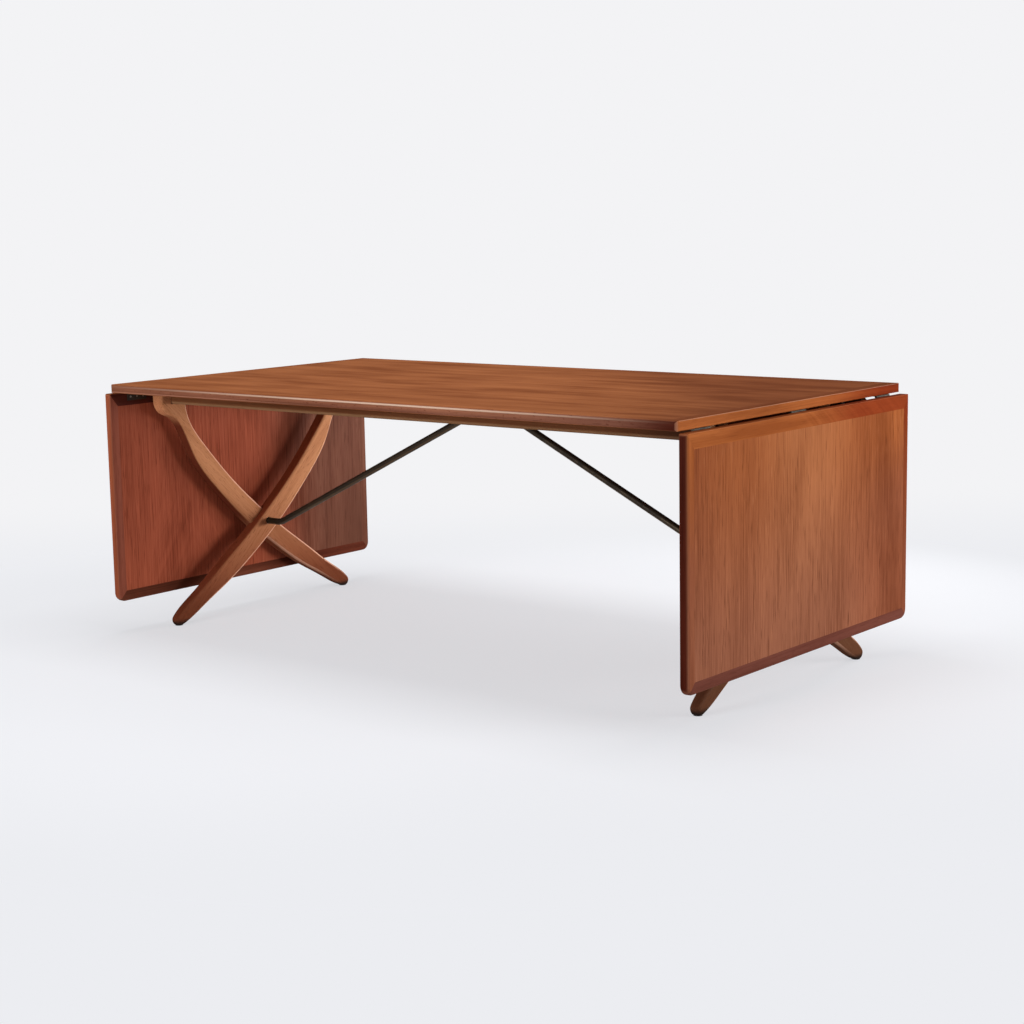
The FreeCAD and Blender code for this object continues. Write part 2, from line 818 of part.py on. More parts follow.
def export_legs(head_screws):
    inner_leg, outer_leg, inner_glide, outer_glide = right_legs()
    export_pair("inner_leg", [without(inner_leg, touching(inner_leg, head_screws))])
    export_pair("outer_leg", [without(outer_leg, touching(outer_leg, head_screws))])
    export("floor_glides", both_ends([inner_glide, outer_glide]))


def export_stretchers(dowels, screws):
    right_rod = rod()
    rods = both_ends([right_rod])
    fixings = hub_screws()
    rail = centre_cross_rail()
    export("centre_cross_rail", [without(rail, touching(rail, dowels + screws + fixings))])
    export_pair("stretcher_rod", [right_rod])
    export("stretcher_washers", both_ends([washer()]))
    export("stretcher_nuts", both_ends([nut()]))
    export("stretcher_hub", [hub(rods, fixings)])
    export("hub_screws", fixings)


def export_slides():
    for word, side in (("front", -1), ("rear", 1)):
        pin = stop_pin(side)
        export_pair(word + "_slide", [slide(side).cut(pin)])
        export_pair(word + "_slide_pin", [pin])


def export_keepers(screws):
    bodies = [without(keeper(side), keeper_screws(side)) for side in sides]
    export("slide_keepers", both_ends(bodies))
    export("keeper_screws", screws)


def build():
    top_plates, top_plate_screws = top_hinge_parts()
    leaf_plates, leaf_plate_screws = leaf_hinge_parts()
    dowels = cross_dowels()
    uprights = top_dowels()
    screws = top_screws()
    head_screws = both_ends(leg_head_screws())
    holders = both_ends([screw for side in sides for screw in keeper_screws(side)])
    export_top(uprights + screws + holders + both_ends(top_plate_screws))
    export_leaves(leaf_plate_screws)
    export_hinges(top_plates, top_plate_screws, leaf_plates, leaf_plate_screws)
    export_rails(dowels, uprights, screws, head_screws)
    export_legs(head_screws)
    export_stretchers(dowels, screws)
    export_slides()
    export_keepers(holders)
    export("rail_dowels", dowels)
    export("top_dowels", uprights)
    export("top_screws", screws)
    export("leg_head_screws", head_screws)


build()
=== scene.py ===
import math
from dataclasses import dataclass

import bpy
from bpy.props import FloatProperty, FloatVectorProperty, PointerProperty
from mathutils import Matrix, Vector


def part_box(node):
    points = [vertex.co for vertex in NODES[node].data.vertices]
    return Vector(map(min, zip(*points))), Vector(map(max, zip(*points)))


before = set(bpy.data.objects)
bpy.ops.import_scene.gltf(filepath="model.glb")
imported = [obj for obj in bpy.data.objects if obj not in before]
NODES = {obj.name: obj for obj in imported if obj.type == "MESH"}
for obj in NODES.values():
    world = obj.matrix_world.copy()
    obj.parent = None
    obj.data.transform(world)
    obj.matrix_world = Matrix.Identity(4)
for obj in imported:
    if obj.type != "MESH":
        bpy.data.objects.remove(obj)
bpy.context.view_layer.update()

# Looks of a teak and oak drop-leaf dining table on a pale studio floor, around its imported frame.
# Metres. X runs along the table, Y across it and Z up, with the origin on the floor.

bl_info = {
    "name": "Drop-leaf dining table",
    "version": (1, 0, 0),
    "blender": (4, 5, 0),
    "location": "3D View > Sidebar > Table",
    "description": "Finishes and studio for a drop-leaf dining table with crossed legs",
    "category": "Object",
}

TABLE_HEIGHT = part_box("top_panel")[1].z
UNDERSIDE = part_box("top_panel")[0].z
LEAF_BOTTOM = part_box("right_leaf_end_lipping")[0].z
LEAF_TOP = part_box("right_leaf_hinge_lipping")[1].z
PHOTO_PIXELS = 1024
SENSOR_WIDTH = 36.0
WHITE = (1.0, 1.0, 1.0, 1.0)

# The way each hanging leaf's outer face looks along X.
OUTWARD = {"right": 1.0, "left": -1.0}

# Axes by number, and sockets that are asked for by number.
X_AXIS = 0
Y_AXIS = 1
Z_AXIS = 2
NORMAL_OUTPUT = 1
OBJECT_OUTPUT = 3
VALUE_OUTPUT = 1
MIX_SHARE = 0
MIX_FIRST = 6
MIX_SECOND = 7
MIX_COLOUR = 2

# How dark the dark streaks of a wood are and how light its light ones, as shares of its colour.
STRONG_CONTRAST = (0.62, 1.32)
TOP_CONTRAST = (0.72, 1.22)
LEAF_CONTRAST = (0.70, 1.24)
LIPPING_CONTRAST = (0.72, 1.20)
RAIL_CONTRAST = (0.70, 1.25)
KEEPER_CONTRAST = (0.65, 1.25)
LEG_CONTRAST = (0.78, 1.15)
BEECH_CONTRAST = (0.80, 1.12)
DOWEL_CONTRAST = (0.82, 1.10)

# Where a wood's shades lie over the levels of its figure, and what they keep of each colour channel.
SHADE_LEVELS = (0.16, 0.5, 0.84)
DARK_BALANCE = (1.0, 0.90, 0.84)
LIGHT_BALANCE = (1.0, 1.05, 1.06)
PORE_SHADE = (0.34, 0.27, 0.24)

# How far a seed moves a noise along each axis, and the spread and the full core of a flame figure.
SEED_STEPS = (1.0, 1.7, 0.6)
ARCH_SPREAD = 3.0
ARCH_CORE = 0.45

# Where the levels of a noise pattern turn into pores, flecks, patches of patina, scratches and scuffs.
PORE_LEVELS = (0.60, 0.74)
FLECK_LEVELS = (0.62, 0.76)
PATINA_LEVELS = (0.38, 0.66)
SCRATCH_LEVELS = (0.58, 0.72)
SCUFF_LEVELS = (0.5, 0.7)

# Where the top's shades fade in, in metres from the first value to the second. Four values are a band:
# it fades in between the first two and out between the last two.
# Painted shade on the top: darker towards its right end, and sooner at the rear.
TOP_SHADE_EAST = (0.70, 0.95)
TOP_SHADE_CORNER = (0.40, 0.80)
# Painted shade on the long edges: darker past the middle and dark red-brown at the right end. The second
# value browns their lower half.
EDGE_SHADE_EAST = (0.32, 0.75)
BROWN_EDGE_UP = (TABLE_HEIGHT - 0.011, TABLE_HEIGHT - 0.021)
MAROON_SHADE_EAST = (0.78, 0.96)
# Painted highlights along the upper and lower rounded edges of the long edges.
LIT_EDGE_EAST = (-1.1, 0.15, 0.20, 1.0)
# The painted highlight on the lower rounded edge fades out to the right.
LIT_LOW_EDGE_EAST = (0.0, -0.6)
RED_END_NORTH = (0.0, 0.45)

# Where the leaves' shades fade in, in metres.
PALE_MIDDLE_NORTH = (0.30, 0.02)
BROWN_SIDES_CENTRE = -0.06
BROWN_SIDES_NORTH = (0.22, 0.55)
REAR_HEAD_NORTH = (0.18, 0.46)
REAR_HEAD_UP = (0.42, 0.62)
# Towards the foot the leaves take a painted reflection of the floor.
FOOT_UP = (UNDERSIDE, LEAF_BOTTOM)
REAR_FOOT_NORTH = (0.10, 0.46)
REAR_FOOT_UP = (0.50, 0.25)
RUBBED_NORTH = -0.10
RUBBED_UP = 0.40
RUBBED_REACH = (0.26, 0.04)
INNER_REAR_NORTH = (0.0, 0.32)
# Painted shade in the lower rear corner of a leaf's inner face.
INNER_SHADE_NORTH = (0.28, 0.50)
INNER_SHADE_UP = (0.45, 0.20)
RED_HINGE_NORTH = (-0.05, 0.28)
FLAME_UP = LEAF_TOP - 0.10
FRONT_HEAD_UP = (0.36, 0.60)
SIDE_HEAD_UP = (LEAF_TOP - 0.12, LEAF_TOP - 0.03)
# Painted shade on the inner face of a leaf's end, towards the rear.
END_SHADE_NORTH = (-0.1, 0.35)

# Where the shades of the rails, legs and rods fade in, in metres.
# Painted shade on the long rails towards the right end.
RAIL_SHADE_EAST = (0.55, 0.92)
SHANK_UP = (0.62, 0.57)
# Painted shade on the leg sides that face down, from this height up.
UNDERSIDE_SHADE_UP = (0.22, 0.29)
TOE_UP = (0.42, 0.05)
DARK_TOE_UP = (0.16, 0.02)
TOE_TIP_UP = (0.022, 0.006)
# Heights of the painted highlights on the legs' rounded edges.
ARRIS_UP = (0.0, 0.10)
LOW_ARRIS_UP = (0.27, 0.20)
ROD_END_UP = (0.32, 0.27)

# How far a surface faces along an axis: 1 is along it, 0 square to it and -1 against it.
TURNED_AWAY = (0.2, -0.2)
LONG_EDGE = (0.40, 0.85)
END_EDGE = (0.35, 0.85)
LEAF_EDGE = (0.5, 0.92)
# Facings that take painted highlights on the top's rounded edges and front right corner.
UPPER_ARRIS = (0.12, 0.32, 0.50, 0.68)
LOWER_ARRIS = (-0.80, -0.50, -0.32, -0.12)
CORNER = (0.25, 0.55)
BOARD_ROUND = (0.985, 0.80)
# The rails' lower round, which takes painted light from the floor.
RAIL_LOWER_ROUND = (-0.05, -0.6)
LEG_EDGE = (0.80, 0.30)
# Leg sides that take painted shade.
LEG_UPPER_SIDE = (-0.10, 0.15)
LEG_LOWER_SIDE = (0.10, -0.15)
# Leg edges that take painted highlights.
LEG_ARRIS = (0.15, 0.45, 0.90, 0.99)
LEG_REAR_ARRIS = (0.05, 0.25)
LEG_LOW_ARRIS = (-0.10, -0.35)
METAL_ROUND = (0.97, 0.80)
# The rods' top, which takes painted shade, and their lower band, which takes a painted highlight.
ROD_TOP_SHADE = (0.25, 0.75)
ROD_LOWER_HIGHLIGHT = (-0.95, -0.78, -0.50, -0.30)

# How far the layers of a wood's figure move its colour and its roughness, and their share of the relief.
MOTTLE_COLOUR = 1.5
STREAK_COLOUR = 1.5
FIBRE_COLOUR = 0.8
MOTTLE_ROUGHNESS = 0.12
FIBRE_ROUGHNESS = 0.22
PORE_ROUGHNESS = 0.12
STREAK_HEIGHT = 0.35
FIBRE_HEIGHT = 0.45
PORE_DEPTH = 0.5

# The same for the scratches and patina of a metal.
SCRATCH_COLOUR = 0.35
PATINA_DULLING = 0.35
PATINA_ROUGHNESS = 0.18
LINE_ROUGHNESS = 0.2
LINE_HEIGHT = 0.4
SPOT_HEIGHT = 0.6

# How strongly flecks show on the leaves, on their rubbed patch and on the top's edges, the scale of the
# last along and across the grain, and how brown the lower half of those edges is.
LEAF_FLECKS = 0.25
RUBBED_FLECKS = 0.35
EDGE_FLECKS = 0.6
EDGE_FLECK_SCALE = (90.0, 260.0)
LOWER_BROWN_SHARE = 0.8

# Depths of surface relief, in metres.
WOOD_RELIEF = 0.00018
METAL_RELIEF = 0.00005
CAST_RELIEF = 0.00012
PIN_RELIEF = 0.00003
SCREW_RELIEF = 0.00004
GLIDE_RELIEF = 0.00008

# The lean of the legs' grain from upright, and each leg's side of it and place in the noise.
LEG_LEAN = math.radians(46)
LEGS = (("right_inner_leg", 1, 91.0), ("right_outer_leg", -1, 94.0), ("left_inner_leg", 1, 97.0),
        ("left_outer_leg", -1, 99.0))

# Each leaf support, with its own and its stop pin's place in the noise.
SLIDES = (("right_front_slide", 76.0, 73.0), ("right_rear_slide", 80.0, 77.0),
          ("left_front_slide", 75.0, 73.0), ("left_rear_slide", 79.0, 77.0))

# Each lamp's name, its place, the point it lights, its width and height, and the setting with its power.
LAMPS = (("overhead_softbox", (-0.3, 0.1, 3.4), (-0.3, 0.0, 0.7), (2.6, 1.7), "overhead_power"),
         ("rear_key", (6.5, 4.2, 0.75), (-0.2, 0.0, 0.4), (3.8, 1.4), "key_power"),
         ("rear_fill", (0.8, 3.0, 0.45), (-0.95, 0.0, 0.4), (1.4, 0.8), "fill_power"),
         ("right_softbox", (4.2, 1.0, 2.4), (0.9, 0.0, 0.4), (2.0, 2.0), "right_power"),
         ("front_strip", (-0.6, -4.2, 1.0), (-0.7, 0.0, 0.45), (1.8, 1.6), "strip_power"))

# The level direction of the photograph's view, and where the floor fades, in metres from the origin.
VIEW_DIRECTION = (-0.625, 0.781, 0.0)
FLOOR_FADE_DISTANCE = (3.0, 11.0)
FLOOR_FADE_BEHIND = (0.9, 2.8)
SHADOW_FADE_DISTANCE = (1.25, 2.1)
FLOOR_BOUNCE = 0.85


def linear(level):
    """A display level from 0 to 255 as scene light."""
    share = level / 255
    return share / 12.92 if share <= 0.04045 else ((share + 0.055) / 1.055) ** 2.4


def tone(red, green, blue):
    """Display levels from 0 to 255 as a colour in scene light."""
    return (linear(red), linear(green), linear(blue))


def shade(colour, red=1.0, green=None, blue=None):
    """A colour with its channels multiplied, as a shader takes it."""
    green = red if green is None else green
    blue = green if blue is None else blue
    return (colour[0] * red, colour[1] * green, colour[2] * blue, 1.0)


class Field:
    """A number that changes over a surface. Arithmetic on it adds Math nodes."""

    def __init__(self, nodes, socket):
        self.nodes = nodes
        self.socket = socket

    def maths(self, operation, first, second=0.0):
        return self.nodes.add("ShaderNodeMath", {"operation": operation}, {0: first, 1: second})

    def __add__(self, other):
        return self.maths("ADD", self, other)

    __radd__ = __add__

    def __sub__(self, other):
        return self.maths("SUBTRACT", self, other)

    def __rsub__(self, other):
        return self.maths("SUBTRACT", other, self)

    def __mul__(self, other):
        return self.maths("MULTIPLY", self, other)

    __rmul__ = __mul__

    def __neg__(self):
        return self.maths("MULTIPLY", self, -1.0)

    def __abs__(self):
        return self.maths("ABSOLUTE", self)

    def highest(self, other):
        return self.maths("MAXIMUM", self, other)

    def ramp(self, low, high):
        """0 below low, 1 above high and a smooth rise between them. Falls where low is above high."""
        return self.nodes.add("ShaderNodeMapRange", {"interpolation_type": "SMOOTHSTEP"},
                              {"Value": self, "From Min": low, "From Max": high})

    def band(self, outer_low, low, high, outer_high):
        """1 from low to high, with a smooth fade to 0 on each side."""
        return self.ramp(outer_low, low) * self.ramp(outer_high, high)


class Nodes:
    """A node tree, and the one call that adds a node to it."""

    def __init__(self, tree):
        self.tree = tree

    def add(self, kind, settings=None, sockets=None, output=0):
        """Adds a node: its settings come first, then its sockets, each a value or a Field."""
        node = self.tree.nodes.new(kind)
        for key, value in (settings or {}).items():
            if key == "stops":
                self.set_stops(node.color_ramp, value)
            else:
                setattr(node, key, value)
        for key, value in (sockets or {}).items():
            self.feed(node.inputs[key], value)
        return Field(self, node.outputs[output])

    def feed(self, socket, value):
        if isinstance(value, Field):
            self.tree.links.new(value.socket, socket)
        else:
            socket.default_value = value

    @staticmethod
    def set_stops(ramp, stops):
        while len(ramp.elements) < len(stops):
            ramp.elements.new(1.0)
        for element, (place, colour) in zip(ramp.elements, stops):
            element.position = place
            element.color = colour

    def mix(self, share, first, second):
        return self.add("ShaderNodeMix", {"data_type": "RGBA"},
                        {MIX_SHARE: share, MIX_FIRST: first, MIX_SECOND: second}, MIX_COLOUR)

    def vector(self, operation, *values, output=0, **named):
        return self.add("ShaderNodeVectorMath", {"operation": operation},
                        {**dict(enumerate(values)), **named}, output)

    def split(self, vector):
        parts = self.add("ShaderNodeSeparateXYZ", {}, {0: vector})
        return [Field(self, socket) for socket in parts.socket.node.outputs]

    def noise(self, place, detail, roughness):
        return self.add("ShaderNodeTexNoise", {}, {"Vector": place, "Scale": 1.0, "Detail": detail,
                                                   "Roughness": roughness})

    def stretched(self, place, scale, seed):
        """A place scaled for a noise, and moved by a seed so that no two patterns are alike."""
        return self.vector("MULTIPLY_ADD", place, scale, tuple(seed * step for step in SEED_STEPS))


class Finish(Nodes):
    """A material with one Principled shader, and fields of where its surface lies and faces.

    Each kind of finish sets its own colour, rough and height, which finished() puts on the shader.
    """

    def __init__(self, name, specular):
        self.material = bpy.data.materials.new(name)
        self.material.use_nodes = True
        super().__init__(self.material.node_tree)
        self.shader = self.tree.nodes["Principled BSDF"]
        self.set("Specular IOR Level", specular)
        self.place = self.add("ShaderNodeTexCoord", output=OBJECT_OUTPUT)
        self.east, self.north, self.up = self.split(self.place)
        facing = self.add("ShaderNodeTexCoord", output=NORMAL_OUTPUT)
        self.faces_east, self.faces_north, self.faces_up = self.split(facing)

    def set(self, name, value):
        self.feed(self.shader.inputs[name], value)

    def tint(self, where, colour, amount=1.0):
        """A plain colour over part of the piece."""
        self.colour = self.mix(where * amount, self.colour, colour)

    def worn(self, amount, colour, levels=BOARD_ROUND):
        """A plain colour on the rounded edges, where the surface faces no single axis. On the leaves'
        lippings it is wear with a painted highlight.
        """
        sides = abs(self.faces_east).highest(abs(self.faces_north))
        self.tint(sides.highest(abs(self.faces_up)).ramp(*levels), colour, amount)

    def finished(self, relief=WOOD_RELIEF):
        self.set("Base Color", self.colour)
        self.set("Roughness", self.rough)
        self.set("Normal", self.add("ShaderNodeBump", {}, {"Height": self.height, "Distance": relief}))
        return self

    def coat(self, *names):
        """Puts this finish on CAD nodes."""
        for name in names:
            for slot in NODES[name].material_slots:
                slot.material = self.material


@dataclass
class Grain:
    """How a board's wood runs: the axis of its fibres, and how far they lean from it."""

    axis: int
    seed: float
    lean: float = 0.0

    def scale(self, along, across):
        return tuple(along if index == self.axis else across for index in range(3))

    def across(self):
        return tuple(0.0 if index == self.axis else 1.0 for index in range(3))


@dataclass
class Arches:
    """Flame figure: nested arches round a line of the board, which fade out along their reach."""

    share: float
    middle: float
    rise: float
    width: float
    pitch: float
    reach: tuple = ()
    pointed: bool = False


@dataclass
class Figure:
    """How strongly each layer of a wood's figure shows, and its scale along and across the grain."""

    mottle: float
    streak: float
    fibre: float
    pores: float
    sway: float
    arches: Arches = None
    mottle_scale: tuple = (1.7, 8.0)
    streak_scale: tuple = (0.7, 46.0)
    fibre_scale: tuple = (5.0, 420.0)
    pore_scale: tuple = (22.0, 620.0)


class Wood(Finish):
    """A wood with mottled colour, long streaks, fine fibres and open pores along its grain."""

    oil_weight = 0.02
    oil_roughness = 0.3
    drift_scale = (1.1, 4.0)
    fleck_scale = (16.0, 420.0)

    def __init__(self, name, grain, figure, colour, contrast, roughness):
        super().__init__(name, specular=0.0)
        self.set("Coat Weight", self.oil_weight)
        self.set("Coat Roughness", self.oil_roughness)
        self.grain = grain
        self.laid = self.place
        if grain.lean:
            self.laid = self.add("ShaderNodeMapping", {},
                                 {"Vector": self.place, "Rotation": (grain.lean, 0.0, 0.0)})
        drift = self.layer(self.drift_scale, step=0, detail=2.0)
        shift = self.vector("SCALE", grain.across(), Scale=(drift - 0.5) * figure.sway)
        self.laid = self.vector("ADD", self.laid, shift)
        mottle = self.layer(figure.mottle_scale, step=3, detail=3.0)
        streak = self.layer(figure.streak_scale, step=7, detail=4.0, roughness=0.62)
        if figure.arches:
            streak = self.arched(streak, figure.arches)
        fibre = self.layer(figure.fibre_scale, step=11, detail=2.0, roughness=0.6)
        pits = self.layer(figure.pore_scale, step=13, detail=1.0).ramp(*PORE_LEVELS)
        self.pore_share = pits * figure.pores
        self.level = (0.5 + (mottle - 0.5) * (MOTTLE_COLOUR * figure.mottle)
                      + (streak - 0.5) * (STREAK_COLOUR * figure.streak)
                      + (fibre - 0.5) * (FIBRE_COLOUR * figure.fibre))
        self.colour = self.figured(colour, contrast)
        self.rough = (roughness + (fibre - 0.5) * FIBRE_ROUGHNESS + pits * PORE_ROUGHNESS
                      + (mottle - 0.5) * MOTTLE_ROUGHNESS)
        self.height = fibre * FIBRE_HEIGHT + streak * STREAK_HEIGHT - pits * PORE_DEPTH

    def layer(self, scale, step, detail, roughness=0.5):
        """Noise drawn out along the grain. Each layer has its own step from the grain's seed."""
        place = self.stretched(self.laid, self.grain.scale(*scale), self.grain.seed + step)
        return self.noise(place, detail, roughness)

    def arched(self, streak, arches):
        """Straight streaks that turn into arches round the arches' middle line."""
        parts = self.split(self.laid)
        along = parts[self.grain.axis]
        across = parts[Z_AXIS if self.grain.axis == Y_AXIS else Y_AXIS]
        offset = across - arches.middle
        bend = abs(offset) if arches.pointed else offset * offset
        climb = bend * arches.rise + along
        line = self.add("ShaderNodeCombineXYZ", {},
                        {0: climb * arches.pitch, 1: offset * ARCH_SPREAD, 2: self.grain.seed})
        flames = self.noise(line, detail=3.0, roughness=0.65)
        inside = abs(offset).ramp(arches.width, arches.width * ARCH_CORE) * arches.share
        if arches.reach:
            inside = inside * along.ramp(*arches.reach)
        return streak + (flames - streak) * inside

    def figured(self, colour, contrast):
        """The wood's figure in the shades of one colour."""
        stops = list(zip(SHADE_LEVELS, wood_shades(colour, *contrast)))
        figured = self.add("ShaderNodeValToRGB", {"stops": stops}, {0: self.level})
        return self.mix(self.pore_share, figured, shade(colour, *PORE_SHADE))

    def stained(self, where, colour, contrast=STRONG_CONTRAST, amount=1.0):
        """Another colour over part of the board. The figure runs through it."""
        self.colour = self.mix(where * amount, self.colour, self.figured(colour, contrast))

    def flecked(self, where, colour, scale=fleck_scale):
        """Short flecks along the grain."""
        flecks = self.layer(scale, step=17, detail=1.0).ramp(*FLECK_LEVELS)
        self.tint(flecks * where, colour)


def wood_shades(colour, depth, lift):
    """Dark, middle and light shades of one wood."""
    dark = shade(colour, *(depth * balance for balance in DARK_BALANCE))
    light = shade(colour, *(lift * balance for balance in LIGHT_BALANCE))
    return dark, shade(colour), light


def top_painted_shade(wood):
    """Where painted shade darkens the top: towards its right end, and sooner at the rear."""
    corner = (wood.east + wood.north).ramp(*TOP_SHADE_CORNER)
    return corner.highest(wood.east.ramp(*TOP_SHADE_EAST))


def front_right_corner(wood):
    """Where a board faces both the right end and the front."""
    return wood.faces_east.ramp(*CORNER) * (-wood.faces_north).ramp(*CORNER)


def finish_top_veneer(paints):
    """The top's veneer, with a plainer underside."""
    figure = Figure(mottle=1.0, streak=0.7, fibre=0.5, pores=0.15, sway=0.03, mottle_scale=(3.2, 11.0),
                    streak_scale=(2.2, 34.0))
    veneer = Wood("top_veneer", Grain(X_AXIS, 2.3), figure, paints.top_teak, TOP_CONTRAST, roughness=0.62)
    # Painted shade: the top darkens towards its right end.
    veneer.stained(top_painted_shade(veneer), paints.shaded_top_teak, TOP_CONTRAST, amount=0.75)
    veneer.stained(veneer.faces_up.ramp(*TURNED_AWAY), paints.inner_teak)
    veneer.finished().coat("top_panel")


def finish_long_lipping(paints, name, seed):
    """One long edge of the top, with painted shade that makes it darker and browner past the middle, and
    painted highlights along its arrises and on its front right corner.
    """
    figure = Figure(mottle=1.0, streak=0.9, fibre=0.6, pores=0.4, sway=0.02)
    lipping = Wood(name, Grain(X_AXIS, seed), figure, paints.top_teak, TOP_CONTRAST, roughness=0.5)
    edge = abs(lipping.faces_north).ramp(*LONG_EDGE)
    # The edge's painted shade past the middle, joined with a browner lower half.
    lower_brown = lipping.up.ramp(*BROWN_EDGE_UP) * LOWER_BROWN_SHARE
    brown = lipping.east.ramp(*EDGE_SHADE_EAST).highest(lower_brown)
    # Painted highlights along the upper rounded edge, brightest left of the middle, and along the lower one
    # on the left half.
    upper = lipping.faces_up.band(*UPPER_ARRIS) * lipping.east.band(*LIT_EDGE_EAST)
    lower = lipping.faces_up.band(*LOWER_ARRIS) * lipping.east.ramp(*LIT_LOW_EDGE_EAST)
    pale = shade(paints.painted_highlight_edge)
    worn = shade(paints.worn_and_highlight_edge)
    # Painted shade: the edge darkens towards the right end, as the top does.
    lipping.stained(top_painted_shade(lipping), paints.shaded_top_teak, TOP_CONTRAST, amount=0.85)
    lipping.stained(edge, paints.edge_teak)
    lipping.stained(edge * brown, paints.shaded_brown_edge)
    lipping.flecked(edge * EDGE_FLECKS, shade(paints.maroon_and_shade), EDGE_FLECK_SCALE)
    # Painted shade: the edge turns dark red-brown at the right end.
    lipping.stained(edge * lipping.east.ramp(*MAROON_SHADE_EAST), paints.maroon_and_shade)
    lipping.tint(upper, pale, amount=0.85)
    # Painted highlights on the lower rounded edge and on the front right corner.
    lipping.tint(lower, worn, amount=0.5)
    lipping.tint(front_right_corner(lipping), worn, amount=0.6)
    lipping.finished().coat(name)


def finish_short_lipping(paints, name, seed, colour):
    """One short edge of the top, redder towards the rear."""
    figure = Figure(mottle=1.0, streak=0.9, fibre=0.6, pores=0.3, sway=0.02)
    lipping = Wood(name, Grain(Y_AXIS, seed), figure, colour, TOP_CONTRAST, roughness=0.5)
    edge = abs(lipping.faces_east).ramp(*END_EDGE)
    lipping.stained(edge, paints.hinge_teak)
    lipping.stained(edge * lipping.north.ramp(*RED_END_NORTH), paints.red_teak)
    # Painted highlights on the upper rounded edge and on the front right corner.
    lipping.tint(lipping.faces_up.band(*UPPER_ARRIS), shade(paints.painted_highlight_edge), amount=0.35)
    lipping.tint(front_right_corner(lipping), shade(paints.worn_and_highlight_edge), amount=0.6)
    lipping.finished().coat(name)


def finish_top(paints):
    """The top's veneer and lippings."""
    finish_top_veneer(paints)
    finish_long_lipping(paints, "top_front_lipping", 5.1)
    finish_long_lipping(paints, "top_rear_lipping", 6.4)
    finish_short_lipping(paints, "top_left_lipping", 8.2, paints.top_teak)
    # The right lipping takes the top's painted shade as its colour.
    finish_short_lipping(paints, "top_right_lipping", 9.6, paints.shaded_top_teak)


def inner_face(wood, side):
    """Where a hanging leaf's piece faces the middle of the table."""
    return (wood.faces_east * OUTWARD[side]).ramp(*TURNED_AWAY)


def finish_leaf_veneer(paints, side):
    """Outside pale down the middle, browner towards the sides and greyer towards the foot with a painted
    reflection of the floor; inside greyer towards the rear, with painted shade in its lower rear corner.
    """
    if side == "right":
        seed = 12.5
        arches = Arches(share=0.15, middle=-0.14, rise=5.5, width=0.24, pitch=20.0)
    else:
        seed = 17.3
        arches = Arches(share=0.9, middle=-0.24, rise=1.7, width=0.20, pitch=24.0, reach=(0.46, 0.26),
                        pointed=True)
    figure = Figure(mottle=0.9, streak=0.42, fibre=1.6, pores=0.6, sway=0.02, arches=arches,
                    mottle_scale=(2.0, 5.5), streak_scale=(2.6, 105.0), pore_scale=(16.0, 330.0))
    veneer = Wood(side + "_leaf_veneer", Grain(Z_AXIS, seed), figure, paints.leaf_teak, LEAF_CONTRAST,
                  roughness=0.50)
    north = veneer.north
    up = veneer.up
    pale_middle = abs(north).ramp(*PALE_MIDDLE_NORTH)
    brown_sides = abs(north - BROWN_SIDES_CENTRE).ramp(*BROWN_SIDES_NORTH)
    rear_head = north.ramp(*REAR_HEAD_NORTH) * up.ramp(*REAR_HEAD_UP)
    rear_foot = north.ramp(*REAR_FOOT_NORTH) * up.ramp(*REAR_FOOT_UP)
    rubbed = abs(north - RUBBED_NORTH).ramp(*RUBBED_REACH) * abs(up - RUBBED_UP).ramp(*RUBBED_REACH)
    veneer.stained(pale_middle, paints.pale_teak, LEAF_CONTRAST, amount=0.5)
    veneer.stained(brown_sides, paints.brown_teak, LEAF_CONTRAST, amount=0.75)
    veneer.stained(rear_head, paints.hinge_teak, LEAF_CONTRAST, amount=0.6)
    # Painted reflection of the floor: greyer towards the foot.
    veneer.stained(up.ramp(*FOOT_UP), paints.floor_reflection_teak, LEAF_CONTRAST, amount=0.85)
    veneer.stained(rear_foot, paints.brown_teak, LEAF_CONTRAST, amount=0.55)
    veneer.flecked(LEAF_FLECKS + rubbed * RUBBED_FLECKS, shade(paints.pale_teak, 1.35, 1.42, 1.6))
    inner = inner_face(veneer, side)
    inner_corner_shade = north.ramp(*INNER_SHADE_NORTH) * up.ramp(*INNER_SHADE_UP)
    veneer.stained(inner, paints.inner_teak)
    veneer.stained(inner * north.ramp(*INNER_REAR_NORTH), paints.inner_rear_teak)
    # Painted shade in the lower rear corner of the inner face.
    veneer.tint(inner * inner_corner_shade, shade(paints.inner_rear_teak, 0.35), amount=0.55)
    veneer.finished().coat(side + "_leaf_panel")


def finish_hinge_lipping(paints, side, seed):
    """A leaf's hinged edge, redder towards the rear, with painted shade on its inner face under the top,
    and worn edges with a painted highlight.
    """
    name = side + "_leaf_hinge_lipping"
    arches = Arches(share=0.8, middle=FLAME_UP, rise=9.0, width=0.30, pitch=42.0, reach=(-0.12, 0.15))
    figure = Figure(mottle=1.2, streak=0.9, fibre=0.5, pores=0.3, sway=0.02, arches=arches)
    lipping = Wood(name, Grain(Y_AXIS, seed), figure, paints.hinge_teak, LIPPING_CONTRAST, roughness=0.45)
    lipping.stained(lipping.north.ramp(*RED_HINGE_NORTH), paints.red_teak, LIPPING_CONTRAST, amount=0.9)
    # Painted shade on the inner face, under the top.
    lipping.stained(inner_face(lipping, side), paints.shaded_inner_hinge_teak)
    # Worn edges, with a painted highlight on them.
    lipping.worn(0.2, shade(paints.worn_and_highlight_edge))
    lipping.finished().coat(name)


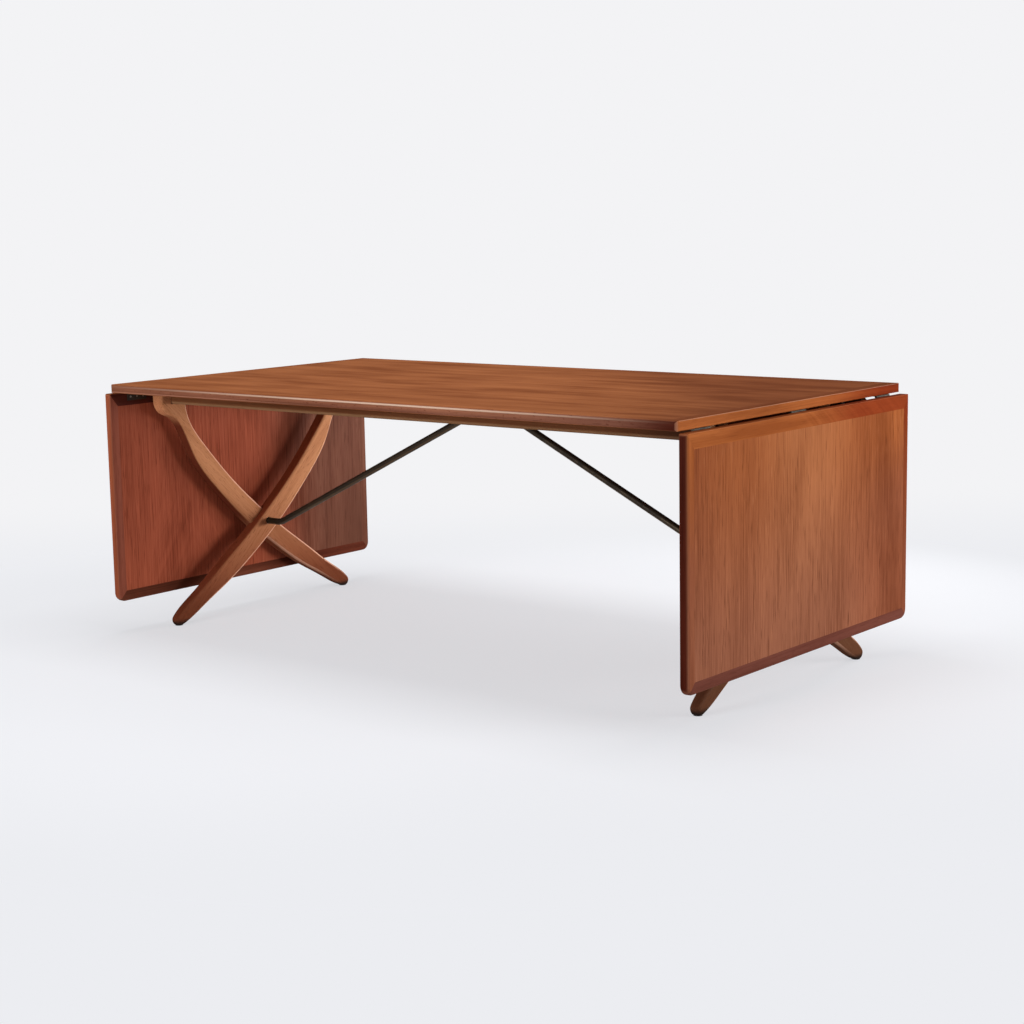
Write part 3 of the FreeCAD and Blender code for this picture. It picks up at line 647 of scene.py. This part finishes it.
def finish_end_lipping(paints, side, seed):
    """A leaf's free end, with painted shade that darkens it inside towards the rear, and worn edges with a
    painted highlight.
    """
    name = side + "_leaf_end_lipping"
    figure = Figure(mottle=0.8, streak=0.9, fibre=0.6, pores=0.4, sway=0.02)
    lipping = Wood(name, Grain(Y_AXIS, seed), figure, paints.end_teak, LIPPING_CONTRAST, roughness=0.42)
    inner = inner_face(lipping, side)
    lipping.stained(inner, paints.inner_end_teak)
    # Painted shade inside, towards the rear.
    lipping.stained(inner * lipping.north.ramp(*END_SHADE_NORTH), paints.maroon_and_shade, amount=0.65)
    # Worn edges, with a painted highlight on them.
    lipping.worn(0.12, shade(paints.worn_and_highlight_edge, 0.8))
    lipping.finished().coat(name)


def finish_side_lipping(paints, name, side, seed, outer, head, inner, edge):
    """A leaf's front or rear side. Outer, head, inner and edge are its four colours."""
    figure = Figure(mottle=0.8, streak=1.0, fibre=0.6, pores=0.4, sway=0.02)
    lipping = Wood(name, Grain(Z_AXIS, seed), figure, outer, LIPPING_CONTRAST, roughness=0.40)
    # Painted reflection of the floor: greyer towards the foot.
    lipping.stained(lipping.up.ramp(*FOOT_UP), paints.floor_reflection_teak, LIPPING_CONTRAST, amount=0.5)
    if name.endswith("front_lipping"):
        lipping.stained(lipping.up.ramp(*FRONT_HEAD_UP), head, LIPPING_CONTRAST, amount=0.6)
    lipping.stained(lipping.up.ramp(*SIDE_HEAD_UP), head, LIPPING_CONTRAST, amount=0.8)
    lipping.stained(inner_face(lipping, side), inner)
    # The edge's colour carries painted light on the left leaf's front, where it is lit red, and painted
    # shade on the other edges, which are dark red-brown.
    lipping.stained(abs(lipping.faces_north).ramp(*LEAF_EDGE), edge)
    # Worn edges, with a painted highlight on them.
    lipping.worn(0.15, shade(paints.worn_and_highlight_edge, 0.8))
    lipping.finished().coat(name)


def finish_leaf(paints, side):
    """One leaf. Its outer face lies level with the top when it is raised."""
    right = side == "right"
    finish_leaf_veneer(paints, side)
    finish_hinge_lipping(paints, side, 21.0 if right else 26.0)
    finish_end_lipping(paints, side, 31.0 if right else 37.0)
    # The front edges carry painted light on the left leaf and painted shade on the right one.
    finish_side_lipping(paints, side + "_leaf_front_lipping", side, 41.0, outer=paints.strip_teak,
                        head=paints.hinge_teak, inner=paints.inner_border_teak,
                        edge=paints.maroon_and_shade if right else paints.lit_red_edge)
    finish_side_lipping(paints, side + "_leaf_rear_lipping", side, 47.0, outer=paints.border_teak,
                        head=paints.red_teak, inner=paints.inner_rear_teak, edge=paints.maroon_and_shade)


def finish_long_rail(paints, name, seed):
    """A long rail, with painted shade that darkens it to the right, and painted light from the floor on its
    lower round.
    """
    figure = Figure(mottle=0.7, streak=0.9, fibre=0.7, pores=0.4, sway=0.015)
    rail = Wood(name + "_wood", Grain(X_AXIS, seed), figure, paints.rail_oak, RAIL_CONTRAST, roughness=0.5)
    # Painted shade towards the right end, and painted light from the floor on the lower round.
    right_shade = rail.east.ramp(*RAIL_SHADE_EAST)
    lower = rail.faces_up.ramp(*RAIL_LOWER_ROUND)
    rail.stained(right_shade, paints.shaded_rail_oak, RAIL_CONTRAST)
    rail.stained(lower, paints.rail_round, RAIL_CONTRAST, amount=0.95)
    rail.stained(lower * right_shade, paints.shaded_rail_round, RAIL_CONTRAST, amount=0.9)
    rail.finished().coat(name)


def finish_cross_rail(paints, name, seed):
    figure = Figure(mottle=0.9, streak=1.0, fibre=0.8, pores=0.5, sway=0.015)
    rail = Wood(name + "_wood", Grain(Y_AXIS, seed), figure, paints.rail_oak, RAIL_CONTRAST, roughness=0.6)
    rail.worn(0.25, shade(paints.rail_round))
    rail.finished().coat(name)


def finish_rails(paints):
    for name, seed in (("front_rail", 51.0), ("rear_rail", 57.0)):
        finish_long_rail(paints, name, seed)
    for name, seed in (("right_cross_rail", 61.0), ("left_cross_rail", 63.0), ("centre_cross_rail", 67.0)):
        finish_cross_rail(paints, name, seed)


def finish_leg(paints, name, side, seed):
    """One sabre leg. Its grain runs straight from the head to the toe; painted shade darkens its sides and
    painted highlights run along its arrises.
    """
    figure = Figure(mottle=0.6, streak=0.7, fibre=0.9, pores=0.65, sway=0.015, mottle_scale=(2.2, 9.0),
                    streak_scale=(1.2, 60.0), fibre_scale=(9.0, 520.0), pore_scale=(45.0, 520.0))
    leg = Wood(name + "_wood", Grain(Z_AXIS, seed, side * LEG_LEAN), figure, paints.leg_oak, LEG_CONTRAST,
               roughness=0.46)
    flat = abs(leg.faces_east)
    edge = flat.ramp(*LEG_EDGE)
    shank = edge * leg.up.ramp(*SHANK_UP)
    underside = shank * leg.up.ramp(*UNDERSIDE_SHADE_UP) * leg.faces_up.ramp(*LEG_LOWER_SIDE)
    toe = paints.toe_oak if name.startswith("right") else paints.toe_red
    # Painted shade on the sides, darkest on those that face up or down under the top.
    leg.stained(edge, paints.shaded_leg_side, LEG_CONTRAST, amount=0.4)
    leg.stained(shank * leg.faces_up.ramp(*LEG_UPPER_SIDE), paints.leg_shaded, LEG_CONTRAST)
    leg.stained(underside, paints.shaded_leg_underside, LEG_CONTRAST)
    leg.stained(leg.up.ramp(*TOE_UP), toe, LEG_CONTRAST, amount=0.85)
    leg.tint(leg.up.ramp(*DARK_TOE_UP), shade(toe, 0.5), amount=0.6)
    leg.tint(leg.up.ramp(*TOE_TIP_UP), shade(paints.glide_black), amount=0.9)
    # Painted highlights on the rounded edges that face the rear, and on the low ones.
    arris = flat.band(*LEG_ARRIS) * leg.up.ramp(*ARRIS_UP)
    low_arris = arris * leg.faces_up.ramp(*LEG_LOW_ARRIS) * leg.up.ramp(*LOW_ARRIS_UP)
    leg.tint(arris * leg.faces_north.ramp(*LEG_REAR_ARRIS), shade(paints.leg_arris_highlight), amount=0.9)
    leg.tint(low_arris, shade(paints.leg_arris_highlight), amount=0.6)
    leg.finished().coat(name)


def finish_slide(paints, name, seed):
    """A leaf support, a little darker along its edges."""
    figure = Figure(mottle=0.8, streak=0.9, fibre=0.8, pores=0.4, sway=0.012)
    slide = Wood(name + "_wood", Grain(X_AXIS, seed), figure, paints.slide_beech, BEECH_CONTRAST,
                 roughness=0.55)
    slide.worn(0.3, shade(paints.slide_beech, 0.72, 0.66, 0.6))
    slide.finished().coat(name)


def finish_stop_pin(paints, name, seed):
    figure = Figure(mottle=0.8, streak=0.8, fibre=0.8, pores=0.3, sway=0.0)
    pin = Wood(name + "_wood", Grain(Z_AXIS, seed), figure, paints.slide_beech, BEECH_CONTRAST,
               roughness=0.55)
    pin.finished().coat(name)


def finish_keepers(paints):
    figure = Figure(mottle=0.9, streak=1.0, fibre=0.8, pores=0.5, sway=0.01)
    keeper = Wood("keeper_wood", Grain(X_AXIS, 79.0), figure, paints.rail_oak, KEEPER_CONTRAST,
                  roughness=0.6)
    keeper.worn(0.3, shade(paints.rail_round))
    keeper.finished().coat("slide_keepers")


def finish_supports(paints):
    for name, slide_seed, pin_seed in SLIDES:
        finish_slide(paints, name, slide_seed)
        finish_stop_pin(paints, name + "_pin", pin_seed)
    finish_keepers(paints)


def finish_dowels(paints):
    figure = Figure(mottle=0.7, streak=0.9, fibre=0.8, pores=0.4, sway=0.0)
    for name, axis, seed in (("rail_dowels", Y_AXIS, 83.0), ("top_dowels", Z_AXIS, 87.0)):
        dowel = Wood(name + "_wood", Grain(axis, seed), figure, paints.slide_beech, DOWEL_CONTRAST,
                     roughness=0.6)
        dowel.finished().coat(name)


class Metal(Finish):
    """A metal with patina and fine scratches."""

    def __init__(self, name, base, patina, bright, roughness, patches, brushed, metallic):
        super().__init__(name, specular=0.5)
        even = (patches, patches, patches)
        spots = self.noise(self.stretched(self.place, even, seed=4.0), detail=4.0, roughness=0.6)
        lines = self.noise(self.stretched(self.place, brushed, seed=9.0), detail=3.0, roughness=0.6)
        cover = spots.ramp(*PATINA_LEVELS)
        scratches = lines.ramp(*SCRATCH_LEVELS) * SCRATCH_COLOUR
        self.colour = self.mix(scratches, self.mix(cover, base, patina), bright)
        self.set("Metallic", metallic - cover * PATINA_DULLING)
        self.rough = roughness + cover * PATINA_ROUGHNESS + (lines - 0.5) * LINE_ROUGHNESS
        self.height = lines * LINE_HEIGHT + spots * SPOT_HEIGHT
        self.bright = bright

    def worn(self, amount):
        """The bright metal on the rounded edges."""
        super().worn(amount, self.bright, METAL_ROUND)


def finish_rods(bronze):
    """Rods with painted shade that makes them nearly black above, a painted highlight as a faint light line
    below, and darker low ends.
    """
    rods = Metal("rod_bronze", shade(bronze), shade(bronze, 0.45, 0.42, 0.4), shade(bronze, 1.7),
                 roughness=0.42, patches=26.0, brushed=(60.0, 240.0, 240.0), metallic=0.55)
    rods.set("Specular IOR Level", 0.2)
    # Painted shade on top, and a painted highlight in the band below.
    rods.tint(rods.faces_up.ramp(*ROD_TOP_SHADE), shade(bronze, 0.30), amount=0.6)
    rods.tint(rods.faces_up.band(*ROD_LOWER_HIGHLIGHT), shade(bronze, 3.0, 2.6, 2.2), amount=0.6)
    rods.tint(rods.up.ramp(*ROD_END_UP), shade(bronze, 0.25), amount=0.5)
    rods.finished(METAL_RELIEF).coat("right_stretcher_rod", "left_stretcher_rod")


def finish_hub(bronze):
    hub = Metal("hub_bronze", shade(bronze, 0.9), shade(bronze, 0.5), shade(bronze, 1.8),
                roughness=0.5, patches=60.0, brushed=(300.0, 300.0, 300.0), metallic=0.6)
    hub.worn(0.4)
    hub.finished(CAST_RELIEF).coat("stretcher_hub")


def finish_fixings(bronze):
    fixings = Metal("nut_bronze", shade(bronze, 1.1), shade(bronze, 0.5), shade(bronze, 2.0),
                    roughness=0.38, patches=90.0, brushed=(120.0, 900.0, 900.0), metallic=0.7)
    fixings.worn(0.5)
    fixings.finished(METAL_RELIEF).coat("stretcher_nuts", "stretcher_washers")


def finish_stretchers(paints):
    """The rods, their hub, and the washers and nuts on their outer ends."""
    finish_rods(paints.bronze)
    finish_hub(paints.bronze)
    finish_fixings(paints.bronze)


def finish_hinges(paints):
    """The hinge plates, and the brighter pins in their knuckles."""
    steel = paints.hinge_steel
    plates = Metal("hinge_steel", shade(steel), shade(steel, 0.4, 0.36, 0.32), shade(steel, 2.2),
                   roughness=0.42, patches=70.0, brushed=(200.0, 1200.0, 1200.0), metallic=0.8)
    plates.worn(0.4)
    plates.finished(METAL_RELIEF)
    pins = Metal("pin_steel", shade(steel, 1.4), shade(steel, 0.6), shade(steel, 2.4),
                 roughness=0.35, patches=90.0, brushed=(900.0, 90.0, 900.0), metallic=0.85)
    pins.finished(PIN_RELIEF)
    for side in ("right", "left"):
        plates.coat(side + "_hinge_top_plates", side + "_hinge_leaf_plates")
        pins.coat(side + "_hinge_pins")


def finish_screws(paints):
    steel = paints.screw_steel
    screws = Metal("screw_steel", shade(steel), shade(steel, 0.5, 0.45, 0.4), shade(steel, 1.6),
                   roughness=0.36, patches=140.0, brushed=(900.0, 900.0, 900.0), metallic=0.85)
    screws.worn(0.4)
    screws.finished(SCREW_RELIEF).coat(*(name for name in NODES if name.endswith("screws")))


def finish_glides(paints):
    """Black plastic, scuffed to grey in patches."""
    plastic = Finish("glide_plastic", specular=0.35)
    grit_place = plastic.stretched(plastic.place, (700.0, 700.0, 700.0), seed=3.0)
    scuff_place = plastic.stretched(plastic.place, (90.0, 90.0, 90.0), seed=5.0)
    plastic.height = plastic.noise(grit_place, detail=3.0, roughness=0.6)
    scuffs = plastic.noise(scuff_place, detail=3.0, roughness=0.6).ramp(*SCUFF_LEVELS)
    plastic.rough = 0.5 + plastic.height * 0.3
    plastic.colour = plastic.mix(scuffs * 0.5, shade(paints.glide_black), shade(paints.glide_black, 3.0))
    plastic.finished(GLIDE_RELIEF).coat("floor_glides")


def place_camera(studio):
    """The photograph's view: the frame is square, so the lens follows its width in pixels."""
    data = bpy.data.cameras.new("photo_camera")
    camera = bpy.data.objects.new("photo_camera", data)
    bpy.context.collection.objects.link(camera)
    bpy.context.scene.camera = camera
    data.sensor_width = SENSOR_WIDTH
    data.lens = studio.focal_pixels * SENSOR_WIDTH / PHOTO_PIXELS
    yaw, pitch, roll = studio.camera_turn
    ahead = Vector((math.sin(yaw) * math.cos(pitch), math.cos(yaw) * math.cos(pitch), -math.sin(pitch)))
    across = ahead.cross(Vector((0, 0, 1))).normalized()
    above = across.cross(ahead)
    right = across * math.cos(roll) + above * math.sin(roll)
    up = above * math.cos(roll) - across * math.sin(roll)
    matrix = Matrix((right, up, -ahead)).transposed().to_4x4()
    matrix.translation = studio.camera_place
    camera.matrix_world = matrix


def hang_lamp(name, place, aim, size, power):
    """A rectangular lamp that the camera doesn't see."""
    data = bpy.data.lights.new(name, "AREA")
    data.shape = "RECTANGLE"
    data.size, data.size_y = size
    data.energy = power
    lamp = bpy.data.objects.new(name, data)
    bpy.context.collection.objects.link(lamp)
    lamp.location = place
    backwards = Vector(place) - Vector(aim)
    lamp.rotation_mode = "QUATERNION"
    lamp.rotation_quaternion = backwards.to_track_quat("Z", "Y")
    lamp.visible_camera = False


def seen_directly(nodes):
    """1 for what the camera sees by itself, in a reflection or through glass, and 0 for other rays."""
    path = nodes.add("ShaderNodeLightPath")
    rays = {socket.name: Field(nodes, socket) for socket in path.socket.node.outputs}
    return rays["Is Camera Ray"].highest(rays["Is Glossy Ray"]).highest(rays["Is Transmission Ray"])


def light_world(paints, studio):
    """The backdrop's colour for what the camera sees, and softer light for the rest."""
    world = bpy.data.worlds.new("studio_backdrop")
    bpy.context.scene.world = world
    world.use_nodes = True
    nodes = Nodes(world.node_tree)
    world.node_tree.nodes.clear()
    backdrop = nodes.add("ShaderNodeBackground", {}, {0: shade(paints.backdrop), 1: 1.0})
    ambient = nodes.add("ShaderNodeBackground", {}, {0: WHITE, 1: studio.ambient})
    mixed = nodes.add("ShaderNodeMixShader", {}, {0: seen_directly(nodes), 1: ambient, 2: backdrop})
    output = world.node_tree.nodes.new("ShaderNodeOutputWorld")
    world.node_tree.links.new(mixed.socket, output.inputs[0])


def paint_floor(nodes, paints, studio):
    """A pale floor that keeps the table's shadow and fades into the backdrop far away."""
    place = nodes.add("ShaderNodeTexCoord", output=OBJECT_OUTPUT)
    behind = nodes.vector("DOT_PRODUCT", place, VIEW_DIRECTION, output=VALUE_OUTPUT)
    distance = nodes.vector("LENGTH", place, output=VALUE_OUTPUT)
    far = distance.ramp(*FLOOR_FADE_DISTANCE).highest(behind.ramp(*FLOOR_FADE_BEHIND))
    unshadowed = distance.ramp(*SHADOW_FADE_DISTANCE)
    matt = nodes.add("ShaderNodeBsdfDiffuse", {}, {0: shade(paints.floor, studio.floor_matt)})
    glow = nodes.add("ShaderNodeEmission", {}, {0: shade(paints.floor, studio.floor_glow), 1: 1.0})
    near = nodes.add("ShaderNodeAddShader", {}, {0: matt, 1: glow})
    open_floor = nodes.add("ShaderNodeEmission", {}, {0: shade(paints.floor), 1: 1.0})
    backdrop = nodes.add("ShaderNodeEmission", {}, {0: shade(paints.backdrop), 1: 1.0})
    settled = nodes.add("ShaderNodeMixShader", {}, {0: unshadowed, 1: near, 2: open_floor})
    seen = nodes.add("ShaderNodeMixShader", {}, {0: far, 1: settled, 2: backdrop})
    plain = nodes.add("ShaderNodeBsdfDiffuse", {}, {0: shade(paints.floor, FLOOR_BOUNCE)})
    return nodes.add("ShaderNodeMixShader", {}, {0: seen_directly(nodes), 1: plain, 2: seen})


def lay_floor(paints, studio):
    half = studio.floor_size / 2
    corners = [(-half, -half, 0), (half, -half, 0), (half, half, 0), (-half, half, 0)]
    mesh = bpy.data.meshes.new("studio_floor")
    mesh.from_pydata(corners, [], [(0, 1, 2, 3)])
    floor = bpy.data.objects.new("studio_floor", mesh)
    bpy.context.collection.objects.link(floor)
    material = bpy.data.materials.new("studio_floor")
    material.use_nodes = True
    mesh.materials.append(material)
    nodes = Nodes(material.node_tree)
    material.node_tree.nodes.clear()
    surface = paint_floor(nodes, paints, studio)
    output = material.node_tree.nodes.new("ShaderNodeOutputMaterial")
    material.node_tree.links.new(surface.socket, output.inputs[0])


def build_stage(paints, studio):
    """The backdrop, the floor and the lamps, shown without any film look."""
    bpy.context.scene.view_settings.view_transform = "Standard"
    light_world(paints, studio)
    lay_floor(paints, studio)
    for name, place, aim, size, power in LAMPS:
        hang_lamp(name, place, aim, size, getattr(studio, power))


def paint(name, colour, what):
    return FloatVectorProperty(name=name, description=what, default=colour, subtype="COLOR", size=3,
                               min=0.0, max=1.0)


def power(name, watts, what):
    return FloatProperty(name=name, description=what, default=watts, min=0.0, unit="POWER")


def factor(name, share, what):
    return FloatProperty(name=name, description=what, default=share, min=0.0, max=1.0, subtype="FACTOR")


class TablePaints(bpy.types.PropertyGroup):
    """Colours of the table's woods and metals, and of the studio."""

    top_teak: paint("Top teak", tone(155, 92, 56), "Teak veneer of the top")
    # Painted shade: this darker teak stands in for less light towards the top's right end.
    shaded_top_teak: paint("Dusky teak", tone(123, 67, 40), "Darker teak towards the top's right end")
    leaf_teak: paint("Leaf teak", tone(154, 86, 48), "Teak veneer of the leaves' outer faces")
    pale_teak: paint("Pale teak", tone(168, 106, 68), "Paler teak down the middle of a leaf")
    brown_teak: paint("Brown teak", tone(132, 68, 40), "Darker teak towards a leaf's side edges")
    # Painted reflection: greyer teak for the floor's reflection towards the foot.
    floor_reflection_teak: paint("Low teak", tone(140, 88, 67), "Greyer teak towards the foot of a hanging leaf")
    inner_teak: paint("Inner teak", tone(153, 77, 54), "Teak on the leaves' inner faces")
    inner_rear_teak: paint("Inner rear teak", tone(112, 69, 54),
                           "Greyer teak towards the rear of the leaves' inner faces")
    # Painted shade: the hinge lipping's inner face, under the top.
    shaded_inner_hinge_teak: paint("Inner hinge lipping", tone(88, 40, 30), "Hinge lipping seen from inside")
    inner_end_teak: paint("Inner end lipping", tone(98, 52, 37), "End lipping seen from inside")
    inner_border_teak: paint("Inner side lipping", tone(134, 72, 55), "Side lippings seen from inside")
    hinge_teak: paint("Hinge lipping", tone(168, 94, 48), "Solid teak along the hinged edges")
    red_teak: paint("Red teak", tone(128, 48, 21), "Redder teak towards the rear of the hinged edges")
    strip_teak: paint("Front lipping", tone(141, 78, 50), "Solid teak along a leaf's front edge")
    border_teak: paint("Rear lipping", tone(122, 54, 24), "Solid teak along a leaf's rear edge")
    end_teak: paint("End lipping", tone(108, 61, 50), "Dark solid teak along a leaf's free end")
    edge_teak: paint("Edge teak", tone(140, 88, 66), "Pinkish solid teak of the top's long edges")
    # Painted shade on the long edges past the middle. It also browns their lower half.
    shaded_brown_edge: paint("Brown edge", tone(112, 68, 53), "Darker teak of the long edges past the middle")
    # Painted light: the left leaf's front edge, lit red.
    lit_red_edge: paint("Red edge", tone(142, 74, 50), "Reddish teak of the left leaf's front edge")
    # Darkest teak, for the flecks and for painted shade on the edges that get less light.
    maroon_and_shade: paint("Maroon edge", tone(76, 29, 18), "Darkest oiled teak edges")
    # Teak of worn edges, which also serves as a painted highlight on rounded edges and corners.
    worn_and_highlight_edge: paint("Worn edge", tone(190, 130, 102), "Teak where edges are worn")
    # Painted highlight: the palest line along the upper rounded edges.
    painted_highlight_edge: paint("Pale edge", tone(225, 195, 172), "Palest line along the worn upper edges")
    leg_oak: paint("Leg wood", tone(188, 128, 89), "Oiled wood of the legs")
    # Painted shade: a darker copy of the leg wood round the edges.
    shaded_leg_side: paint("Leg sides", tone(168, 104, 72), "Oiled wood round the legs' edges")
    leg_shaded: paint("Leg upper sides", tone(112, 51, 30), "Dark wood of the leg edges that face up")
    # Painted shade on the leg edges that face down.
    shaded_leg_underside: paint("Leg undersides", tone(94, 43, 28), "Darkest wood of the leg edges that face down")
    # Painted highlight on the legs' rounded edges.
    leg_arris_highlight: paint("Leg edges", tone(220, 168, 140), "Leg wood where its edges are worn")
    toe_oak: paint("Right toe wood", tone(106, 65, 46), "Dark wood of the toes at the right end")
    toe_red: paint("Left toe wood", tone(124, 63, 42), "Redder wood of the toes at the left end")
    rail_oak: paint("Rail wood", tone(100, 60, 37), "Brown wood of the rails")
    # Painted shade on the long rails towards the right end.
    shaded_rail_oak: paint("Dusky rail wood", tone(60, 33, 18), "Darker rail wood towards the right end")
    # Painted light from the floor on the long rails' lower round. The cross rails and keepers take this
    # colour on their worn edges.
    rail_round: paint("Rail edge", tone(140, 102, 72), "Lighter lower edge of the rails")
    # Painted light on the lower round, with painted shade towards the right end.
    shaded_rail_round: paint("Dusky rail edge", tone(88, 60, 44),
                           "Lower edge of the rails towards the right end")
    slide_beech: paint("Slide wood", tone(190, 152, 108), "Pale wood of slides, pins and dowels")
    bronze: paint("Bronze", tone(54, 44, 32), "Dark bronze of the stretcher rods and hub")
    hinge_steel: paint("Hinge steel", tone(64, 55, 44), "Dull steel of the hinges")
    screw_steel: paint("Screw steel", tone(150, 144, 134), "Steel of the screws")
    glide_black: paint("Glide black", tone(30, 26, 24), "Black plastic of the floor glides")
    floor: paint("Floor", tone(236, 237, 241), "Pale studio floor")
    backdrop: paint("Backdrop", tone(243, 243, 245), "Pale studio backdrop")


class StudioSettings(bpy.types.PropertyGroup):
    """Camera, lamps and floor."""

    camera_place: FloatVectorProperty(
        name="Camera place", description="Where the camera stands", default=(3.35, -4.1079, 1.1868),
        subtype="TRANSLATION", unit="LENGTH")
    camera_turn: FloatVectorProperty(
        name="Camera turn", description="Turn to the right from straight ahead, tilt down and roll",
        default=tuple(math.radians(angle) for angle in (-38.66, 8.89, -1.03)),
        subtype="EULER", unit="ROTATION")
    focal_pixels: FloatProperty(
        name="Focal length", description="Focal length in pixels of the photograph", default=1965.32,
        min=1.0, subtype="PIXEL")
    overhead_power: power("Overhead softbox", 58.0, "Power of the lamp over the top")
    key_power: power("Rear key", 330.0, "Power of the low lamp behind and beyond the right end")
    fill_power: power("Rear fill", 62.0, "Power of the low lamp behind the table, for the left leaf")
    right_power: power("Right softbox", 34.0, "Power of the high lamp beyond the right end")
    strip_power: power("Front strip", 90.0, "Power of the lamp in front of the left half")
    ambient: factor("Ambient", 0.22, "Strength of the light from all round")
    floor_glow: factor("Floor glow", 0.66, "Share of the floor's colour that no shadow reaches")
    floor_matt: factor("Floor matt", 0.42, "Share of the floor's colour that takes light and shadow")
    floor_size: FloatProperty(
        name="Floor size", description="Side of the square floor", default=90.0, min=1.0, unit="LENGTH")


class TABLE_OT_camera(bpy.types.Operator):
    """Place the camera at the photograph's angle"""

    bl_idname = "drop_leaf.camera"
    bl_label = "Camera"
    bl_options = {"REGISTER", "UNDO"}

    def execute(self, context):
        place_camera(context.scene.table_studio)
        return {"FINISHED"}


class TABLE_OT_stage(bpy.types.Operator):
    """Lay the floor and hang the backdrop and lamps"""

    bl_idname = "drop_leaf.stage"
    bl_label = "Studio"
    bl_options = {"REGISTER", "UNDO"}

    def execute(self, context):
        build_stage(context.scene.table_paints, context.scene.table_studio)
        return {"FINISHED"}


class TABLE_OT_top(bpy.types.Operator):
    """Finish the top's veneer and its four lippings"""

    bl_idname = "drop_leaf.top"
    bl_label = "Top"
    bl_options = {"REGISTER", "UNDO"}

    def execute(self, context):
        finish_top(context.scene.table_paints)
        return {"FINISHED"}


class TABLE_OT_leaves(bpy.types.Operator):
    """Finish both hanging leaves and their lippings"""

    bl_idname = "drop_leaf.leaves"
    bl_label = "Leaves"
    bl_options = {"REGISTER", "UNDO"}

    def execute(self, context):
        for side in OUTWARD:
            finish_leaf(context.scene.table_paints, side)
        return {"FINISHED"}


class TABLE_OT_rails(bpy.types.Operator):
    """Finish the long rails and the cross rails"""

    bl_idname = "drop_leaf.rails"
    bl_label = "Rails"
    bl_options = {"REGISTER", "UNDO"}

    def execute(self, context):
        finish_rails(context.scene.table_paints)
        return {"FINISHED"}


class TABLE_OT_legs(bpy.types.Operator):
    """Finish the crossed legs"""

    bl_idname = "drop_leaf.legs"
    bl_label = "Legs"
    bl_options = {"REGISTER", "UNDO"}

    def execute(self, context):
        for name, side, seed in LEGS:
            finish_leg(context.scene.table_paints, name, side, seed)
        return {"FINISHED"}


class TABLE_OT_supports(bpy.types.Operator):
    """Finish the leaf supports, their stop pins and keepers"""

    bl_idname = "drop_leaf.supports"
    bl_label = "Leaf supports"
    bl_options = {"REGISTER", "UNDO"}

    def execute(self, context):
        finish_supports(context.scene.table_paints)
        return {"FINISHED"}


class TABLE_OT_dowels(bpy.types.Operator):
    """Finish the dowels"""

    bl_idname = "drop_leaf.dowels"
    bl_label = "Dowels"
    bl_options = {"REGISTER", "UNDO"}

    def execute(self, context):
        finish_dowels(context.scene.table_paints)
        return {"FINISHED"}


class TABLE_OT_stretchers(bpy.types.Operator):
    """Finish the stretcher rods, their hub, washers and nuts"""

    bl_idname = "drop_leaf.stretchers"
    bl_label = "Stretchers"
    bl_options = {"REGISTER", "UNDO"}

    def execute(self, context):
        finish_stretchers(context.scene.table_paints)
        return {"FINISHED"}


class TABLE_OT_hinges(bpy.types.Operator):
    """Finish the hinge plates and pins"""

    bl_idname = "drop_leaf.hinges"
    bl_label = "Hinges"
    bl_options = {"REGISTER", "UNDO"}

    def execute(self, context):
        finish_hinges(context.scene.table_paints)
        return {"FINISHED"}


class TABLE_OT_screws(bpy.types.Operator):
    """Finish all the screws"""

    bl_idname = "drop_leaf.screws"
    bl_label = "Screws"
    bl_options = {"REGISTER", "UNDO"}

    def execute(self, context):
        finish_screws(context.scene.table_paints)
        return {"FINISHED"}


class TABLE_OT_glides(bpy.types.Operator):
    """Finish the floor glides"""

    bl_idname = "drop_leaf.glides"
    bl_label = "Floor glides"
    bl_options = {"REGISTER", "UNDO"}

    def execute(self, context):
        finish_glides(context.scene.table_paints)
        return {"FINISHED"}


OPERATORS = (TABLE_OT_camera, TABLE_OT_stage, TABLE_OT_top, TABLE_OT_leaves, TABLE_OT_rails, TABLE_OT_legs,
             TABLE_OT_supports, TABLE_OT_dowels, TABLE_OT_stretchers, TABLE_OT_hinges, TABLE_OT_screws,
             TABLE_OT_glides)


class TABLE_PT_sidebar(bpy.types.Panel):
    """The table's pieces and settings"""

    bl_idname = "TABLE_PT_sidebar"
    bl_label = "Drop-leaf table"
    bl_space_type = "VIEW_3D"
    bl_region_type = "UI"
    bl_category = "Table"

    def draw(self, context):
        column = self.layout.column()
        for operator in OPERATORS:
            column.operator(operator.bl_idname)
        for group in (context.scene.table_studio, context.scene.table_paints):
            box = self.layout.box()
            for name in group.__annotations__:
                box.prop(group, name)


CLASSES = (TablePaints, StudioSettings) + OPERATORS + (TABLE_PT_sidebar,)


def register():
    for each in CLASSES:
        bpy.utils.register_class(each)
    bpy.types.Scene.table_paints = PointerProperty(type=TablePaints)
    bpy.types.Scene.table_studio = PointerProperty(type=StudioSettings)


def unregister():
    del bpy.types.Scene.table_studio
    del bpy.types.Scene.table_paints
    for each in reversed(CLASSES):
        bpy.utils.unregister_class(each)


def main():
    register()
    for operator in OPERATORS:
        group, name = operator.bl_idname.split(".")
        getattr(getattr(bpy.ops, group), name)()


if __name__ == "__main__":
    main()
